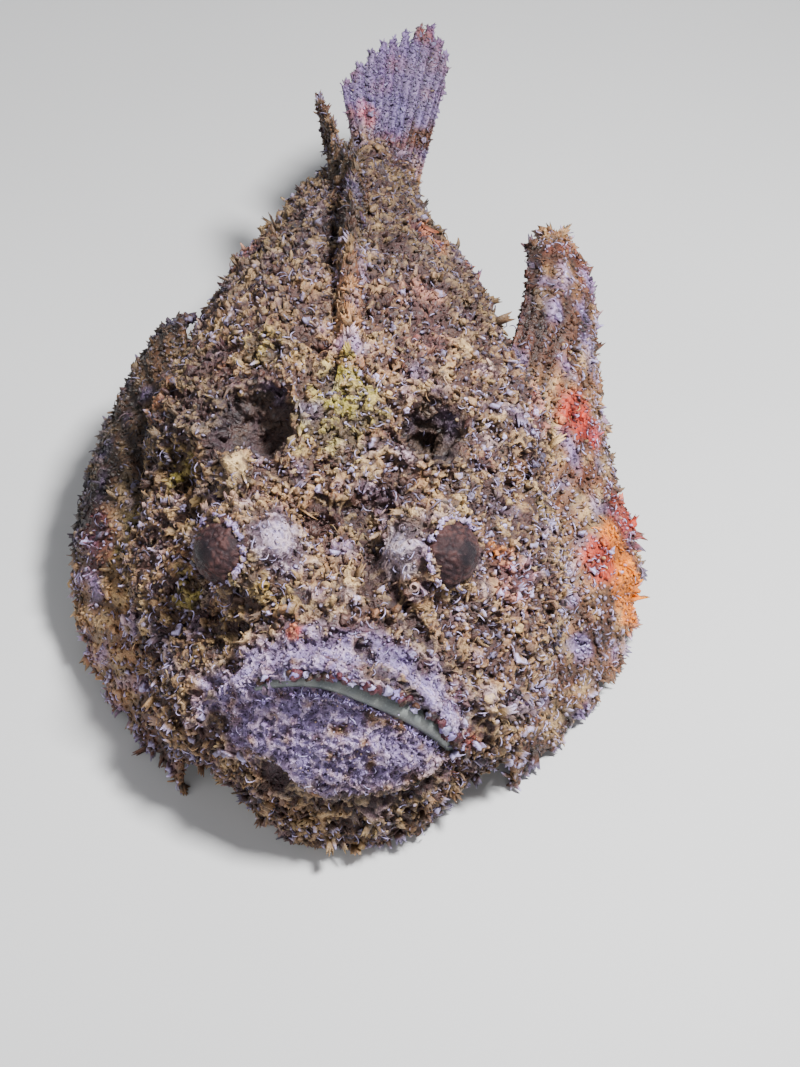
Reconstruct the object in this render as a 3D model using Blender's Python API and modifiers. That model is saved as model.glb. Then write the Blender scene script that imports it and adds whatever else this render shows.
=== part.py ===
"""Reef stonefish at life size, at rest on its belly.

Metres, +Z up. The fish faces -Y and its left side is at +X. The origin is on the floor, under the
middle of the whole fish. Every shape is laid out in a working frame with the chin at y = 0, and
the finished parts are then moved to the origin.
"""

import math
import random

import bmesh
import bpy
import numpy as np
from mathutils import Vector, noise
from mathutils.bvhtree import BVHTree

# Spine: straight back from the chin, then bent to the left, with the tail rolled onto its side.
TOTAL_LENGTH = 0.345
BEND_START = 0.18
BEND_ANGLE = math.radians(20)
ROLL_START = 0.205
ROLL_END = 0.295
ROLL_ANGLE = math.radians(52)

# Trunk sections: distance from the chin, half width, top and bottom height.
SECTIONS = (
    (0.020, 0.026, 0.054, -0.004),
    (0.045, 0.048, 0.076, -0.005),
    (0.080, 0.058, 0.092, -0.005),
    (0.115, 0.061, 0.106, -0.005),
    (0.150, 0.060, 0.112, -0.005),
    (0.185, 0.053, 0.107, -0.003),
    (0.220, 0.038, 0.096, 0.008),
    (0.250, 0.025, 0.087, 0.026),
    (0.275, 0.015, 0.079, 0.040),
    (0.293, 0.010, 0.078, 0.046),
)
SQUARENESS = 2.35
WIDEST_SHARE = 0.42

# Masses of the head: centre and radii. The first three lie on the midline, the next three are
# made on both sides.
SNOUT = ((0.000, 0.047, 0.049), (0.043, 0.039, 0.037))
CHIN = ((0.000, 0.027, 0.036), (0.041, 0.028, 0.036))
THROAT = ((0.000, 0.030, 0.012), (0.038, 0.031, 0.024))
JOWL = ((0.040, 0.045, 0.031), (0.022, 0.028, 0.029))
CHEEK = ((0.040, 0.086, 0.036), (0.034, 0.052, 0.038))
SHOULDER = ((0.044, 0.124, 0.050), (0.025, 0.040, 0.046))
EYE_MOUNDS = (
    ((-0.028, 0.055, 0.082), (0.0165, 0.0175, 0.0165)),
    ((0.024, 0.055, 0.082), (0.0155, 0.0175, 0.0165)),
)
BROW_KNOB = ((-0.0325, 0.078, 0.092), (0.0080, 0.0085, 0.0085))

# Hollows pressed into the head: centre, radius, depth, height of the rim round it.
HOLLOWS = (
    ((-0.0300, 0.097, 0.097), 0.0145, 0.0160, 0.0025),
    ((-0.0530, 0.096, 0.074), 0.0130, 0.0080, 0.0015),
    ((0.0278, 0.095, 0.096), 0.0110, 0.0165, 0.0035),
    ((0.0540, 0.096, 0.074), 0.0100, 0.0050, 0.0010),
    ((0.0060, 0.068, 0.088), 0.0100, 0.0105, 0.0000),
    ((-0.0080, 0.066, 0.086), 0.0080, 0.0060, 0.0000),
    ((0.0330, 0.036, 0.066), 0.0090, 0.0035, 0.0000),
    ((-0.0350, 0.036, 0.066), 0.0090, 0.0035, 0.0000),
)

HOLLOW_REACH = 1.9
RIM_PLACE = 1.15
RIM_SPREAD = 0.3

# Folds pressed into the face: points along the fold, half width and depth. They are the groove
# over the upper lip, the folds at the two mouth corners, the one beside the snout and the one
# under the jaw.
FOLDS = (
    (((0.0063, 0.0228, 0.0756), (0.0139, 0.0130, 0.0773), (0.0206, 0.0105, 0.0686),
      (0.0273, 0.0118, 0.0533), (0.0320, 0.0119, 0.0390)), 0.0034, 0.0030),
    (((0.0331, 0.0240, 0.0644), (0.0391, 0.0196, 0.0511), (0.0460, 0.0248, 0.0262)), 0.0042, 0.0036),
    (((-0.0396, 0.0377, 0.0641), (-0.0420, 0.0233, 0.0571), (-0.0384, 0.0180, 0.0462)), 0.0042, 0.0030),
    (((0.0140, 0.0386, 0.0818), (0.0202, 0.0330, 0.0776), (0.0259, 0.0282, 0.0721)), 0.0034, 0.0026),
    (((-0.0237, 0.0057, 0.0397), (-0.0125, 0.0007, 0.0316), (0.0025, -0.0004, 0.0293),
      (0.0204, 0.0026, 0.0292), (0.0309, 0.0097, 0.0324)), 0.0055, 0.0024),
)

# The mouth is an arch across the front, rolled so that its left end hangs lower.
MOUTH_CENTRE = (-0.0017, 0.0125, 0.0337)
MOUTH_HALF_WIDTH = 0.042
MOUTH_ARCH = 0.0375
MOUTH_ROLL = math.radians(21)
MOUTH_SKEW = -0.25
MOUTH_POWER = 2.2
MOUTH_SET_BACK = 0.009
LIP_RADIUS = 0.0050
LOWER_LIP_SHARE = 1.15
LIP_TAPER = 0.2
MOUTH_GROOVE_WIDTH = 0.0045
MOUTH_GROOVE_DEPTH = 0.0030
MOUTH_GROOVE_BACK = 0.030
JAW_BACK = 0.045
JAW_FRONT = -0.030
JAW_UNDER = -0.020

# Nostrils: two short tubes before each eye, then their height, wall and depth of opening.
NOSTRILS = ((0.016, 0.034, 0.083), (0.021, 0.040, 0.084), (-0.018, 0.034, 0.083), (-0.023, 0.040, 0.084))
NOSTRIL_HEIGHT = 0.0022
NOSTRIL_TAPER = 0.0007
NOSTRIL_WALL = 0.0006

# Eyes: radius, where the right and the left one look, how far out each sits from the middle of
# its mound, then the ring of the lids round it.
EYE_RADIUS = 0.0105
EYE_LOOKS = ((-0.70, -0.49, 0.51), (0.67, -0.51, 0.54))
EYE_SET_OUT = 0.0082
LID_RADIUS = 0.0020
LID_RING = 0.0092
LID_SET_OUT = 0.0056

HEAD_END = 0.126
TORSO_END = 0.252

MASS_VOXEL = 0.0040
VOXEL = 0.0022
FLESH_TRIANGLES = 4900
GAP = 0.0003
FIN_GAP = 0.0005
SEED = 13

# Skin: widths and heights of its lumps. Then its warts and papillae: their number, radii and
# height over radius, the share that is blunt, and the room they keep.
LUMP_WIDTH = (0.0120, 0.0060)
LUMP_HEIGHT = (0.0018, 0.0014)
WART_COUNT = 560
WART_RADII = (0.0036, 0.0028, 0.0021)
WART_SLENDERNESS = (0.5, 1.15)
WART_BLUNT_SHARE = 0.15
WART_EDGE_ROOM = 1.25
WART_FLOOR_CLEAR = 0.0035
WART_CUT_CLEAR = 0.0040
WART_EYE_CLEAR = 0.0040
WART_FIN_CLEAR = 0.0022

# Fins: number of rays, then the rays' roots and tips from the first ray to the last.
PECTORAL_RAYS = 15
PECTORAL_ROOT = (
    (0.048, 0.136, 0.066),
    (0.058, 0.122, 0.056),
    (0.062, 0.098, 0.044),
    (0.058, 0.070, 0.032),
    (0.047, 0.048, 0.021),
    (0.036, 0.036, 0.013),
)
PECTORAL_BULGE = (0.004, 0.000, 0.011)
LEFT_PECTORAL_TIP = (
    (0.064, 0.220, 0.070),
    (0.076, 0.226, 0.073),
    (0.087, 0.208, 0.062),
    (0.088, 0.172, 0.044),
    (0.092, 0.140, 0.034),
    (0.100, 0.110, 0.021),
    (0.094, 0.082, 0.009),
    (0.078, 0.055, 0.0035),
    (0.054, 0.028, 0.0030),
)
RIGHT_PECTORAL_TIP = (
    (-0.058, 0.188, 0.062),
    (-0.068, 0.184, 0.058),
    (-0.078, 0.166, 0.050),
    (-0.086, 0.146, 0.042),
    (-0.092, 0.124, 0.032),
    (-0.094, 0.102, 0.020),
    (-0.089, 0.080, 0.009),
    (-0.075, 0.055, 0.0035),
    (-0.052, 0.026, 0.0030),
)
PELVIC_RAYS = 6
PELVIC_ROOT = ((0.030, 0.106, 0.004), (0.040, 0.116, 0.008))
PELVIC_TIP = ((0.034, 0.168, 0.0022), (0.052, 0.166, 0.0022), (0.064, 0.146, 0.0026))
CAUDAL_RAYS = 12
CAUDAL_ROOT_S = 0.280
CAUDAL_ROOT_HALF = 0.014
CAUDAL_TIP = (
    (-0.0060, 0.3040, 0.0850),
    (0.0065, 0.3260, 0.0880),
    (0.0160, 0.3370, 0.0865),
    (0.0280, 0.3505, 0.0860),
    (0.0360, 0.3440, 0.0760),
    (0.0350, 0.3290, 0.0690),
)
DORSAL_SPINES = 13
DORSAL_START = 0.106
DORSAL_SPINE_END = 0.232
DORSAL_SPINE_HEIGHTS = (0.009, 0.013, 0.015, 0.014, 0.013, 0.013, 0.012)
DORSAL_LEAN = math.radians(46)
SOFT_DORSAL_RAYS = 6
SOFT_DORSAL_START = 0.238
SOFT_DORSAL_END = 0.270
SOFT_DORSAL_HEIGHTS = (0.016, 0.023, 0.024, 0.014)
ANAL_RAYS = 8
ANAL_START = 0.205
ANAL_END = 0.258
ANAL_HEIGHTS = (0.010, 0.017, 0.021, 0.017)
ANAL_LEAN = math.radians(62)
FIN_SINK = 0.004

# Thickness of each fin's rays at root and tip, and how far the skin between them falls short.
PECTORAL_THICKNESS = (0.0042, 0.0024)
PECTORAL_NOTCH = 0.10
PELVIC_THICKNESS = (0.0040, 0.0022)
PELVIC_NOTCH = 0.08
CAUDAL_THICKNESS = (0.0050, 0.0018)
CAUDAL_NOTCH = 0.10
SPINE_THICKNESS = (0.0110, 0.0036)
SPINE_NOTCH = 0.45
SOFT_DORSAL_THICKNESS = (0.0040, 0.0018)
SOFT_DORSAL_NOTCH = 0.12
ANAL_THICKNESS = (0.0045, 0.0020)
ANAL_NOTCH = 0.15
RAY_KNOBS = (0.85, 1.25)
WEB_THINNESS = 0.5
RAY_UNEVENNESS = 0.05

# Colour and roughness of each kind of piece.
LOOKS = {
    "head": ((0.36, 0.28, 0.19), 0.7),
    "lower": ((0.42, 0.38, 0.36), 0.65),
    "eye": ((0.09, 0.05, 0.04), 0.2),
    "torso": ((0.30, 0.22, 0.15), 0.75),
    "tail": ((0.28, 0.21, 0.16), 0.75),
    "caudal": ((0.50, 0.45, 0.45), 0.6),
    "dorsal": ((0.28, 0.20, 0.14), 0.75),
    "anal": ((0.33, 0.26, 0.20), 0.7),
    "pectoral": ((0.45, 0.33, 0.22), 0.7),
    "pelvic": ((0.40, 0.31, 0.22), 0.7),
}


def clear_scene():
    for obj in list(bpy.data.objects):
        bpy.data.objects.remove(obj, do_unlink=True)


def smooth(t):
    t = np.clip(t, 0.0, 1.0)
    return t * t * (3 - 2 * t)


def through(points, t):
    """A smooth line through the points, at t from 0 to 1."""
    table = np.array(points, dtype=float)
    if table.ndim == 1:
        table = table[:, None]
    last = len(table) - 1
    slopes = np.gradient(table, axis=0)
    place = min(max(t, 0.0), 1.0) * last
    i = min(int(place), last - 1)
    u = place - i
    value = (
        (2 * u**3 - 3 * u**2 + 1) * table[i]
        + (u**3 - 2 * u**2 + u) * slopes[i]
        + (3 * u**2 - 2 * u**3) * table[i + 1]
        + (u**3 - u**2) * slopes[i + 1]
    )
    return value if len(value) > 1 else float(value[0])


def section_at(s):
    """Half width, top and bottom of the trunk at s."""
    places = [row[0] for row in SECTIONS]
    index = np.interp(s, places, range(len(places)))
    return through([row[1:] for row in SECTIONS], index / (len(places) - 1))


def heading(s):
    return BEND_ANGLE * max(0.0, s - BEND_START) / (TOTAL_LENGTH - BEND_START)


def spine(s):
    """x and y of the spine at distance s behind the chin."""
    steps = np.linspace(0, s, 40)
    angles = [heading(a) for a in steps]
    width = steps[1] - steps[0]
    x = width * sum(math.sin(a) for a in angles[1:])
    y = width * sum(math.cos(a) for a in angles[1:])
    return x, y


def frame_at(s):
    """Middle of the section at s, with its left and up directions after bend and roll."""
    x, y = spine(s)
    angle = heading(s)
    roll = ROLL_ANGLE * float(smooth((s - ROLL_START) / (ROLL_END - ROLL_START)))
    _, top, bottom = section_at(min(s, SECTIONS[-1][0]))
    middle = bottom + WIDEST_SHARE * (top - bottom)
    across = Vector((math.cos(angle), -math.sin(angle), 0))
    up = Vector((0, 0, 1))
    left = across * math.cos(roll) + up * math.sin(roll)
    rolled_up = up * math.cos(roll) - across * math.sin(roll)
    return Vector((x, y, middle)), left, rolled_up


def on_trunk(s, side, height):
    """The point at s that is side metres to the left and height metres over the section's middle."""
    middle, left, up = frame_at(s)
    return middle + left * side + up * height


def material(name, colour, roughness):
    mat = bpy.data.materials.new(name)
    mat.use_nodes = True
    shader = mat.node_tree.nodes["Principled BSDF"]
    shader.inputs["Base Color"].default_value = (*colour, 1)
    shader.inputs["Roughness"].default_value = roughness
    shader.inputs["Metallic"].default_value = 0.0
    return mat


def add_object(name, bm, collection=None):
    mesh = bpy.data.meshes.new(name)
    bm.to_mesh(mesh)
    bm.free()
    obj = bpy.data.objects.new(name, mesh)
    (collection or bpy.context.scene.collection).objects.link(obj)
    return obj


def ellipsoid(bm, centre, radii, segments=28):
    made = bmesh.ops.create_uvsphere(bm, u_segments=segments, v_segments=segments * 2 // 3, radius=1)
    bmesh.ops.scale(bm, verts=made["verts"], vec=radii)
    bmesh.ops.translate(bm, verts=made["verts"], vec=centre)


def trunk_loft(bm, rings=44, sides=40):
    first, last = SECTIONS[0][0], SECTIONS[-1][0]
    loops = []
    for s in np.linspace(first, last, rings):
        half, top, bottom = section_at(s)
        middle = bottom + WIDEST_SHARE * (top - bottom)
        loop = []
        for k in range(sides):
            angle = 2 * math.pi * k / sides
            c, d = math.cos(angle), math.sin(angle)
            side = half * math.copysign(abs(c) ** (2 / SQUARENESS), c)
            reach = (top - middle) if d > 0 else (middle - bottom)
            height = reach * math.copysign(abs(d) ** (2 / SQUARENESS), d)
            loop.append(bm.verts.new(on_trunk(s, side, height)))
        loops.append(loop)
    for a, b in zip(loops, loops[1:]):
        for k in range(sides):
            n = (k + 1) % sides
            bm.faces.new((a[k], a[n], b[n], b[k]))
    bm.faces.new(list(reversed(loops[0])))
    bm.faces.new(loops[-1])


def mouth_point(u, lift=0.0):
    """A point of the mouth's line at u from -1 to 1, with lift metres across it."""
    along = u * MOUTH_HALF_WIDTH
    from_top = (u - MOUTH_SKEW) / (1 - MOUTH_SKEW if u > MOUTH_SKEW else 1 + MOUTH_SKEW)
    over = MOUTH_ARCH * (1 - abs(from_top) ** MOUTH_POWER) + lift
    x = MOUTH_CENTRE[0] + along * math.cos(MOUTH_ROLL) + over * math.sin(MOUTH_ROLL)
    z = MOUTH_CENTRE[2] - along * math.sin(MOUTH_ROLL) + over * math.cos(MOUTH_ROLL)
    return Vector((x, MOUTH_CENTRE[1] + MOUTH_SET_BACK * u * u, z))


def lips(bm, beads=17):
    """Two rolls of flesh on either side of the mouth's line, as rows of beads for the remesh."""
    for lift, share in ((LIP_RADIUS, 1.0), (-LIP_RADIUS, LOWER_LIP_SHARE)):
        for k in range(beads):
            u = -1 + 2 * k / (beads - 1)
            radius = LIP_RADIUS * share * (1 - LIP_TAPER * u * u)
            ellipsoid(bm, mouth_point(u, lift), (radius, radius, radius), 12)


def eye_centre(side):
    (x, y, z), radii = EYE_MOUNDS[0 if side < 0 else 1]
    look = Vector(EYE_LOOKS[0 if side < 0 else 1]).normalized()
    return Vector((x, y, z)) + look * EYE_SET_OUT, look


def lids(bm, beads=14):
    """A low collar of flesh round each eye."""
    for side in (-1, 1):
        centre, look = eye_centre(side)
        first = look.orthogonal().normalized()
        second = look.cross(first)
        for k in range(beads):
            angle = 2 * math.pi * k / beads
            ring = first * math.cos(angle) + second * math.sin(angle)
            place = centre + ring * LID_RING + look * LID_SET_OUT
            ellipsoid(bm, place, (LID_RADIUS,) * 3, 10)


def masses():
    """The large forms of the body, joined and eased into one another."""
    bm = bmesh.new()
    trunk_loft(bm)
    for centre, radii in (SNOUT, CHIN, THROAT):
        ellipsoid(bm, centre, radii)
    for centre, radii in (JOWL, CHEEK, SHOULDER):
        for side in (-1, 1):
            ellipsoid(bm, (side * centre[0], centre[1], centre[2]), radii)
    bmesh.ops.recalc_face_normals(bm, faces=bm.faces)
    remesh = ("REMESH", {"mode": "VOXEL", "voxel_size": MASS_VOXEL})
    return modified(bm, remesh, ("SMOOTH", {"factor": 0.5, "iterations": 14}))


def evaluated_bmesh(obj):
    graph = bpy.context.evaluated_depsgraph_get()
    bm = bmesh.new()
    bm.from_mesh(obj.evaluated_get(graph).data)
    return bm


def modified(bm, *settings):
    """The mesh after a stack of modifiers, each given as its type and its values."""
    obj = add_object("working", bm)
    for kind, values in settings:
        modifier = obj.modifiers.new(kind.lower(), kind)
        for key, value in values.items():
            setattr(modifier, key, value)
    result = evaluated_bmesh(obj)
    bpy.data.objects.remove(obj, do_unlink=True)
    return result


def press_hollows(bm):
    """Sink the hollows of the head and raise a rim round each."""
    for centre, radius, depth, rim in HOLLOWS:
        middle = Vector(centre)
        near = [v for v in bm.verts if (v.co - middle).length < HOLLOW_REACH * radius]
        inward = -sum((v.normal for v in near), Vector()).normalized()
        for v in near:
            away = v.co - middle
            flat = (away - inward * away.dot(inward)).length / radius
            pit = depth * (1 - float(smooth(flat)))
            ring = rim * math.exp(-((flat - RIM_PLACE) / RIM_SPREAD) ** 2)
            v.co += inward * (pit - ring)


def press_mouth(bm):
    """Sink the line between the lips."""
    line = [mouth_point(-1 + k / 24) for k in range(49)]
    for v in bm.verts:
        if v.co.y > MOUTH_GROOVE_BACK:
            continue
        near = min(math.hypot(v.co.x - p.x, v.co.z - p.z) for p in line)
        v.co.y += MOUTH_GROOVE_DEPTH * (1 - float(smooth(near / MOUTH_GROOVE_WIDTH)))


def press_folds(bm):
    """Sink each fold of the face along its line."""
    for points, width, depth in FOLDS:
        line = [Vector(through(points, k / 20)) for k in range(21)]
        for v in bm.verts:
            near = min((v.co - p).length for p in line)
            if near < width:
                v.co -= v.normal * depth * (1 - float(smooth(near / width)))


def lump_skin(bm):
    """Give the whole skin its uneven, lumpy surface."""
    for v in bm.verts:
        wide = noise.noise(v.co / LUMP_WIDTH[0])
        fine = noise.noise(v.co / LUMP_WIDTH[1])
        v.co += v.normal * (LUMP_HEIGHT[0] * wide + LUMP_HEIGHT[1] * fine)


def nostrils(bm):
    """Short tubes in front of each eye, each with its opening."""
    for x, y, z in NOSTRILS:
        spot = Vector((x, y, z))
        face = min(bm.faces, key=lambda f: (f.calc_center_median() - spot).length)
        bmesh.ops.inset_individual(bm, faces=[face], thickness=NOSTRIL_TAPER, depth=NOSTRIL_HEIGHT)
        bmesh.ops.inset_individual(bm, faces=[face], thickness=NOSTRIL_WALL, depth=0.0)
        bmesh.ops.inset_individual(bm, faces=[face], thickness=GAP / 2, depth=-NOSTRIL_HEIGHT)


def cut_plane(bm, point, normal):
    """Keep the side that the normal points away from, and close the cut."""
    geometry = bm.verts[:] + bm.edges[:] + bm.faces[:]
    cut = bmesh.ops.bisect_plane(
        bm, geom=geometry, dist=1e-7, plane_co=point, plane_no=normal, clear_outer=True
    )
    edges = [e for e in cut["geom_cut"] if isinstance(e, bmesh.types.BMEdge)]
    bmesh.ops.holes_fill(bm, edges=edges)
    bmesh.ops.triangulate(bm, faces=[f for f in bm.faces if len(f.verts) > 3])


def flesh():
    """The whole body without its fins, as one closed mesh that stands on the floor."""
    bm = masses()
    for centre, radii in EYE_MOUNDS + (BROW_KNOB,):
        ellipsoid(bm, centre, radii)
    lips(bm)
    lids(bm)
    bmesh.ops.recalc_face_normals(bm, faces=bm.faces)
    remesh = ("REMESH", {"mode": "VOXEL", "voxel_size": VOXEL})
    bm = modified(bm, remesh, ("SMOOTH", {"factor": 0.5, "iterations": 5}))
    bm.normal_update()
    lump_skin(bm)
    press_hollows(bm)
    press_mouth(bm)
    press_folds(bm)
    share = FLESH_TRIANGLES / (2 * len(bm.faces))
    bm = modified(bm, ("DECIMATE", {"ratio": share}))
    bmesh.ops.triangulate(bm, faces=bm.faces)
    cut_plane(bm, (0, 0, 0), (0, 0, -1))
    nostrils(bm)
    return bm


def grown(bm, amount):
    """A copy of the mesh moved outwards by that amount."""
    copy = bm.copy()
    copy.normal_update()
    for v in copy.verts:
        v.co += v.normal * amount * max(1.0, v.calc_shell_factor())
    return copy


def boolean(bm, tool, operation, solver="EXACT"):
    """The mesh joined with, cut by or kept inside the tool. Both stay as they were."""
    obj = add_object("working", bm.copy())
    cutter = add_object("cutter", tool.copy())
    modifier = obj.modifiers.new("boolean", "BOOLEAN")
    modifier.operation = operation
    modifier.solver = solver
    modifier.object = cutter
    result = evaluated_bmesh(obj)
    bpy.data.objects.remove(obj, do_unlink=True)
    bpy.data.objects.remove(cutter, do_unlink=True)
    return result


def keep_largest(bm):
    """Drop every loose piece but the one with the most faces."""
    bmesh.ops.remove_doubles(bm, verts=bm.verts, dist=1e-6)
    bmesh.ops.dissolve_degenerate(bm, edges=bm.edges, dist=1e-6)
    left = set(bm.verts)
    pieces = []
    while left:
        stack = [left.pop()]
        piece = set(stack)
        while stack:
            for edge in stack.pop().link_edges:
                for v in edge.verts:
                    if v in left:
                        left.discard(v)
                        piece.add(v)
                        stack.append(v)
        pieces.append(piece)
    best = max(pieces, key=len)
    bmesh.ops.delete(bm, geom=[v for v in bm.verts if v not in best], context="VERTS")
    bmesh.ops.triangulate(bm, faces=[f for f in bm.faces if len(f.verts) > 3])
    return bm


def ray_fin(rays, rows, root, tip, thick, notch, bulge=Vector()):
    """A fin of thick rays with thinner skin between them.

    root and tip give a ray's ends for t from 0 to 1, thick is the ray's thickness at both ends,
    notch is how far the skin falls short of the rays' tips, and bulge pushes the middle out. The
    rays are knobbly and end unevenly.
    """
    columns = 2 * rays - 1
    draw = random.Random(rays)
    grid = []
    for j in range(columns):
        t = j / (columns - 1)
        start, end = Vector(root(t)), Vector(tip(t))
        reach = 1.0 + RAY_UNEVENNESS * draw.uniform(-1, 1) if j % 2 == 0 else 1.0 - notch
        line = []
        for i in range(rows + 1):
            r = reach * i / rows
            line.append(start.lerp(end, r) + bulge * (4 * r * (1 - r)))
        grid.append(line)
    bm = bmesh.new()
    sides = ([], [])
    for j in range(columns):
        before, after = grid[max(j - 1, 0)], grid[min(j + 1, columns - 1)]
        for i in range(rows + 1):
            across = after[i] - before[i]
            along = grid[j][min(i + 1, rows)] - grid[j][max(i - 1, 0)]
            normal = across.cross(along).normalized()
            share = i / rows
            depth = thick[0] + (thick[1] - thick[0]) * share
            depth *= RAY_KNOBS[i % 2] if j % 2 == 0 else WEB_THINNESS
            for sign, side in zip((0.5, -0.5), sides):
                side.append(bm.verts.new(grid[j][i] + normal * depth * sign))
    width = rows + 1
    for side, flip in zip(sides, (False, True)):
        for j in range(columns - 1):
            for i in range(rows):
                corner = j * width + i
                quad = [side[corner], side[corner + width], side[corner + width + 1], side[corner + 1]]
                for tri in ((quad[0], quad[1], quad[2]), (quad[0], quad[2], quad[3])):
                    bm.faces.new(tuple(reversed(tri)) if flip else tri)
    border = [j * width for j in range(columns)]
    border += [(columns - 1) * width + i for i in range(1, width)]
    border += [j * width + rows for j in range(columns - 2, -1, -1)]
    border += [i for i in range(rows - 1, 0, -1)]
    for a, b in zip(border, border[1:] + border[:1]):
        bm.faces.new((sides[0][a], sides[1][a], sides[1][b]))
        bm.faces.new((sides[0][a], sides[1][b], sides[0][b]))
    bmesh.ops.recalc_face_normals(bm, faces=bm.faces)
    return bm


def pectoral(side):
    tips = LEFT_PECTORAL_TIP if side > 0 else RIGHT_PECTORAL_TIP
    mirror = Vector((side, 1, 1))
    return ray_fin(
        PECTORAL_RAYS,
        5,
        lambda t: Vector(through(PECTORAL_ROOT, t)) * mirror,
        lambda t: Vector(through(tips, t)),
        PECTORAL_THICKNESS,
        PECTORAL_NOTCH,
        Vector(PECTORAL_BULGE) * mirror,
    )


def pelvic(side):
    mirror = Vector((side, 1, 1))
    return ray_fin(
        PELVIC_RAYS,
        4,
        lambda t: Vector(through(PELVIC_ROOT, t)) * mirror,
        lambda t: Vector(through(PELVIC_TIP, t)) * mirror,
        PELVIC_THICKNESS,
        PELVIC_NOTCH,
    )


def back_of(s):
    angle = heading(s)
    return Vector((math.sin(angle), math.cos(angle), 0))


def median_fin(rays, rows, start, end, heights, lean, thick, notch, edge):
    """A fin on the fish's midline; edge is 1 along the back and -1 along the belly."""

    def root(t):
        s = start + (end - start) * t
        _, top, bottom = section_at(s)
        middle = bottom + WIDEST_SHARE * (top - bottom)
        reach = (top if edge > 0 else bottom) - middle
        return on_trunk(s, 0, reach - edge * FIN_SINK)

    def tip(t):
        s = start + (end - start) * t
        up = frame_at(s)[2]
        way = up * edge * math.cos(lean) + back_of(s) * math.sin(lean)
        return root(t) + way * (through(heights, t) + FIN_SINK)

    return ray_fin(rays, rows, root, tip, thick, notch)


def caudal():
    middle, _, up = frame_at(CAUDAL_ROOT_S)

    def root(t):
        return middle + up * CAUDAL_ROOT_HALF * (1 - 2 * t)

    def tip(t):
        return Vector(through(CAUDAL_TIP, t))

    return ray_fin(CAUDAL_RAYS, 5, root, tip, CAUDAL_THICKNESS, CAUDAL_NOTCH)


def mouth_block(amount):
    """A solid that holds the lower jaw, larger by that amount on every side that cuts."""
    outline = [mouth_point(-1 + k / 12, amount) for k in range(25)]
    right, left = outline[-1].x + amount, outline[0].x - amount
    corners = [Vector((right, 0, JAW_UNDER)), Vector((left, 0, JAW_UNDER))]
    ring = [Vector((p.x, 0, p.z)) for p in outline] + corners
    ring[0].x -= amount
    ring[len(outline) - 1].x += amount
    bm = bmesh.new()
    front = [bm.verts.new((p.x, JAW_FRONT, p.z)) for p in ring]
    face = bm.faces.new(front)
    pulled = bmesh.ops.extrude_face_region(bm, geom=[face])
    moved = [g for g in pulled["geom"] if isinstance(g, bmesh.types.BMVert)]
    bmesh.ops.translate(bm, verts=moved, vec=(0, JAW_BACK - JAW_FRONT + amount, 0))
    bmesh.ops.recalc_face_normals(bm, faces=bm.faces)
    bmesh.ops.triangulate(bm, faces=bm.faces)
    return bm


def ball(centre, radius, segments=16, rings=10):
    bm = bmesh.new()
    bmesh.ops.create_uvsphere(bm, u_segments=segments, v_segments=rings, radius=radius)
    bmesh.ops.translate(bm, verts=bm.verts, vec=centre)
    bmesh.ops.triangulate(bm, faces=bm.faces)
    return bm


def room_for_wart(v, radius, fin_trees, eyes, taken):
    """Whether a wart of that radius fits on the skin at this vertex."""
    spot = v.co
    if v in taken or any(edge.other_vert(v) in taken for edge in v.link_edges):
        return False
    if min(edge.calc_length() for edge in v.link_edges) < WART_EDGE_ROOM * radius:
        return False
    if min(edge.other_vert(v).co.z for edge in v.link_edges) < GAP or spot.z < WART_FLOOR_CLEAR:
        return False
    if any(abs(spot.y - cut) < WART_CUT_CLEAR for cut in (HEAD_END, TORSO_END)):
        return False
    if min((spot - eye).length for eye in eyes) < EYE_RADIUS + WART_EYE_CLEAR:
        return False
    reach = radius * WART_SLENDERNESS[1]
    outer = [spot + v.normal * reach, spot + v.normal * reach / 2, spot]
    if min(p.z for p in outer) < WART_FLOOR_CLEAR / 2:
        return False
    return all(tree.find_nearest(p)[3] > WART_FIN_CLEAR + radius for tree in fin_trees for p in outer)


def raise_warts(bm, fins):
    """Pull round warts and pointed papillae up out of the skin's own surface."""
    draw = random.Random(SEED)
    bm.normal_update()
    skin = BVHTree.FromBMesh(bm)
    fin_trees = [BVHTree.FromBMesh(fin) for fin in fins]
    eyes = [eye_centre(side)[0] for side in (-1, 1)]
    spots = list(bm.verts)
    draw.shuffle(spots)
    taken = set()
    groups = {radius: [] for radius in WART_RADII}
    for v in spots:
        radius = draw.choice(WART_RADII)
        if len(taken) >= WART_COUNT or not room_for_wart(v, radius, fin_trees, eyes, taken):
            continue
        start = v.co + v.normal * GAP
        if skin.ray_cast(start, v.normal, 3 * radius * WART_SLENDERNESS[1])[0] is not None:
            continue
        taken.add(v)
        groups[radius].append(v)
    for radius, verts in groups.items():
        ways = [(v.co.copy(), v.normal.copy()) for v in verts]
        made = bmesh.ops.bevel(
            bm, geom=verts, offset=radius, offset_type="OFFSET", segments=1, affect="VERTICES"
        )
        middles = [f.calc_center_median() for f in made["faces"]]
        faces = list(made["faces"])
        nearest = [
            min(range(len(faces)), key=lambda k: (middles[k] - spot).length) for spot, _ in ways
        ]
        for (_, way), k in zip(ways, nearest):
            raise_one(bm, faces[k], way, radius * draw.uniform(*WART_SLENDERNESS), draw)


def raise_one(bm, face, way, height, draw):
    """Turn one round face into a wart: a blunt one in two steps, or a pointed one in one."""
    if draw.random() < WART_BLUNT_SHARE:
        bmesh.ops.inset_individual(bm, faces=[face], thickness=height / 4, depth=height / 2)
        height /= 2
    middle = face.calc_center_median()
    made = bmesh.ops.poke(bm, faces=[face])
    made["verts"][0].co = middle + way * height


def place(name, bm, mat, collection, offset):
    bmesh.ops.translate(bm, verts=bm.verts, vec=-offset)
    obj = add_object(name, bm, collection)
    obj.data.materials.append(mat)
    return obj


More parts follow.
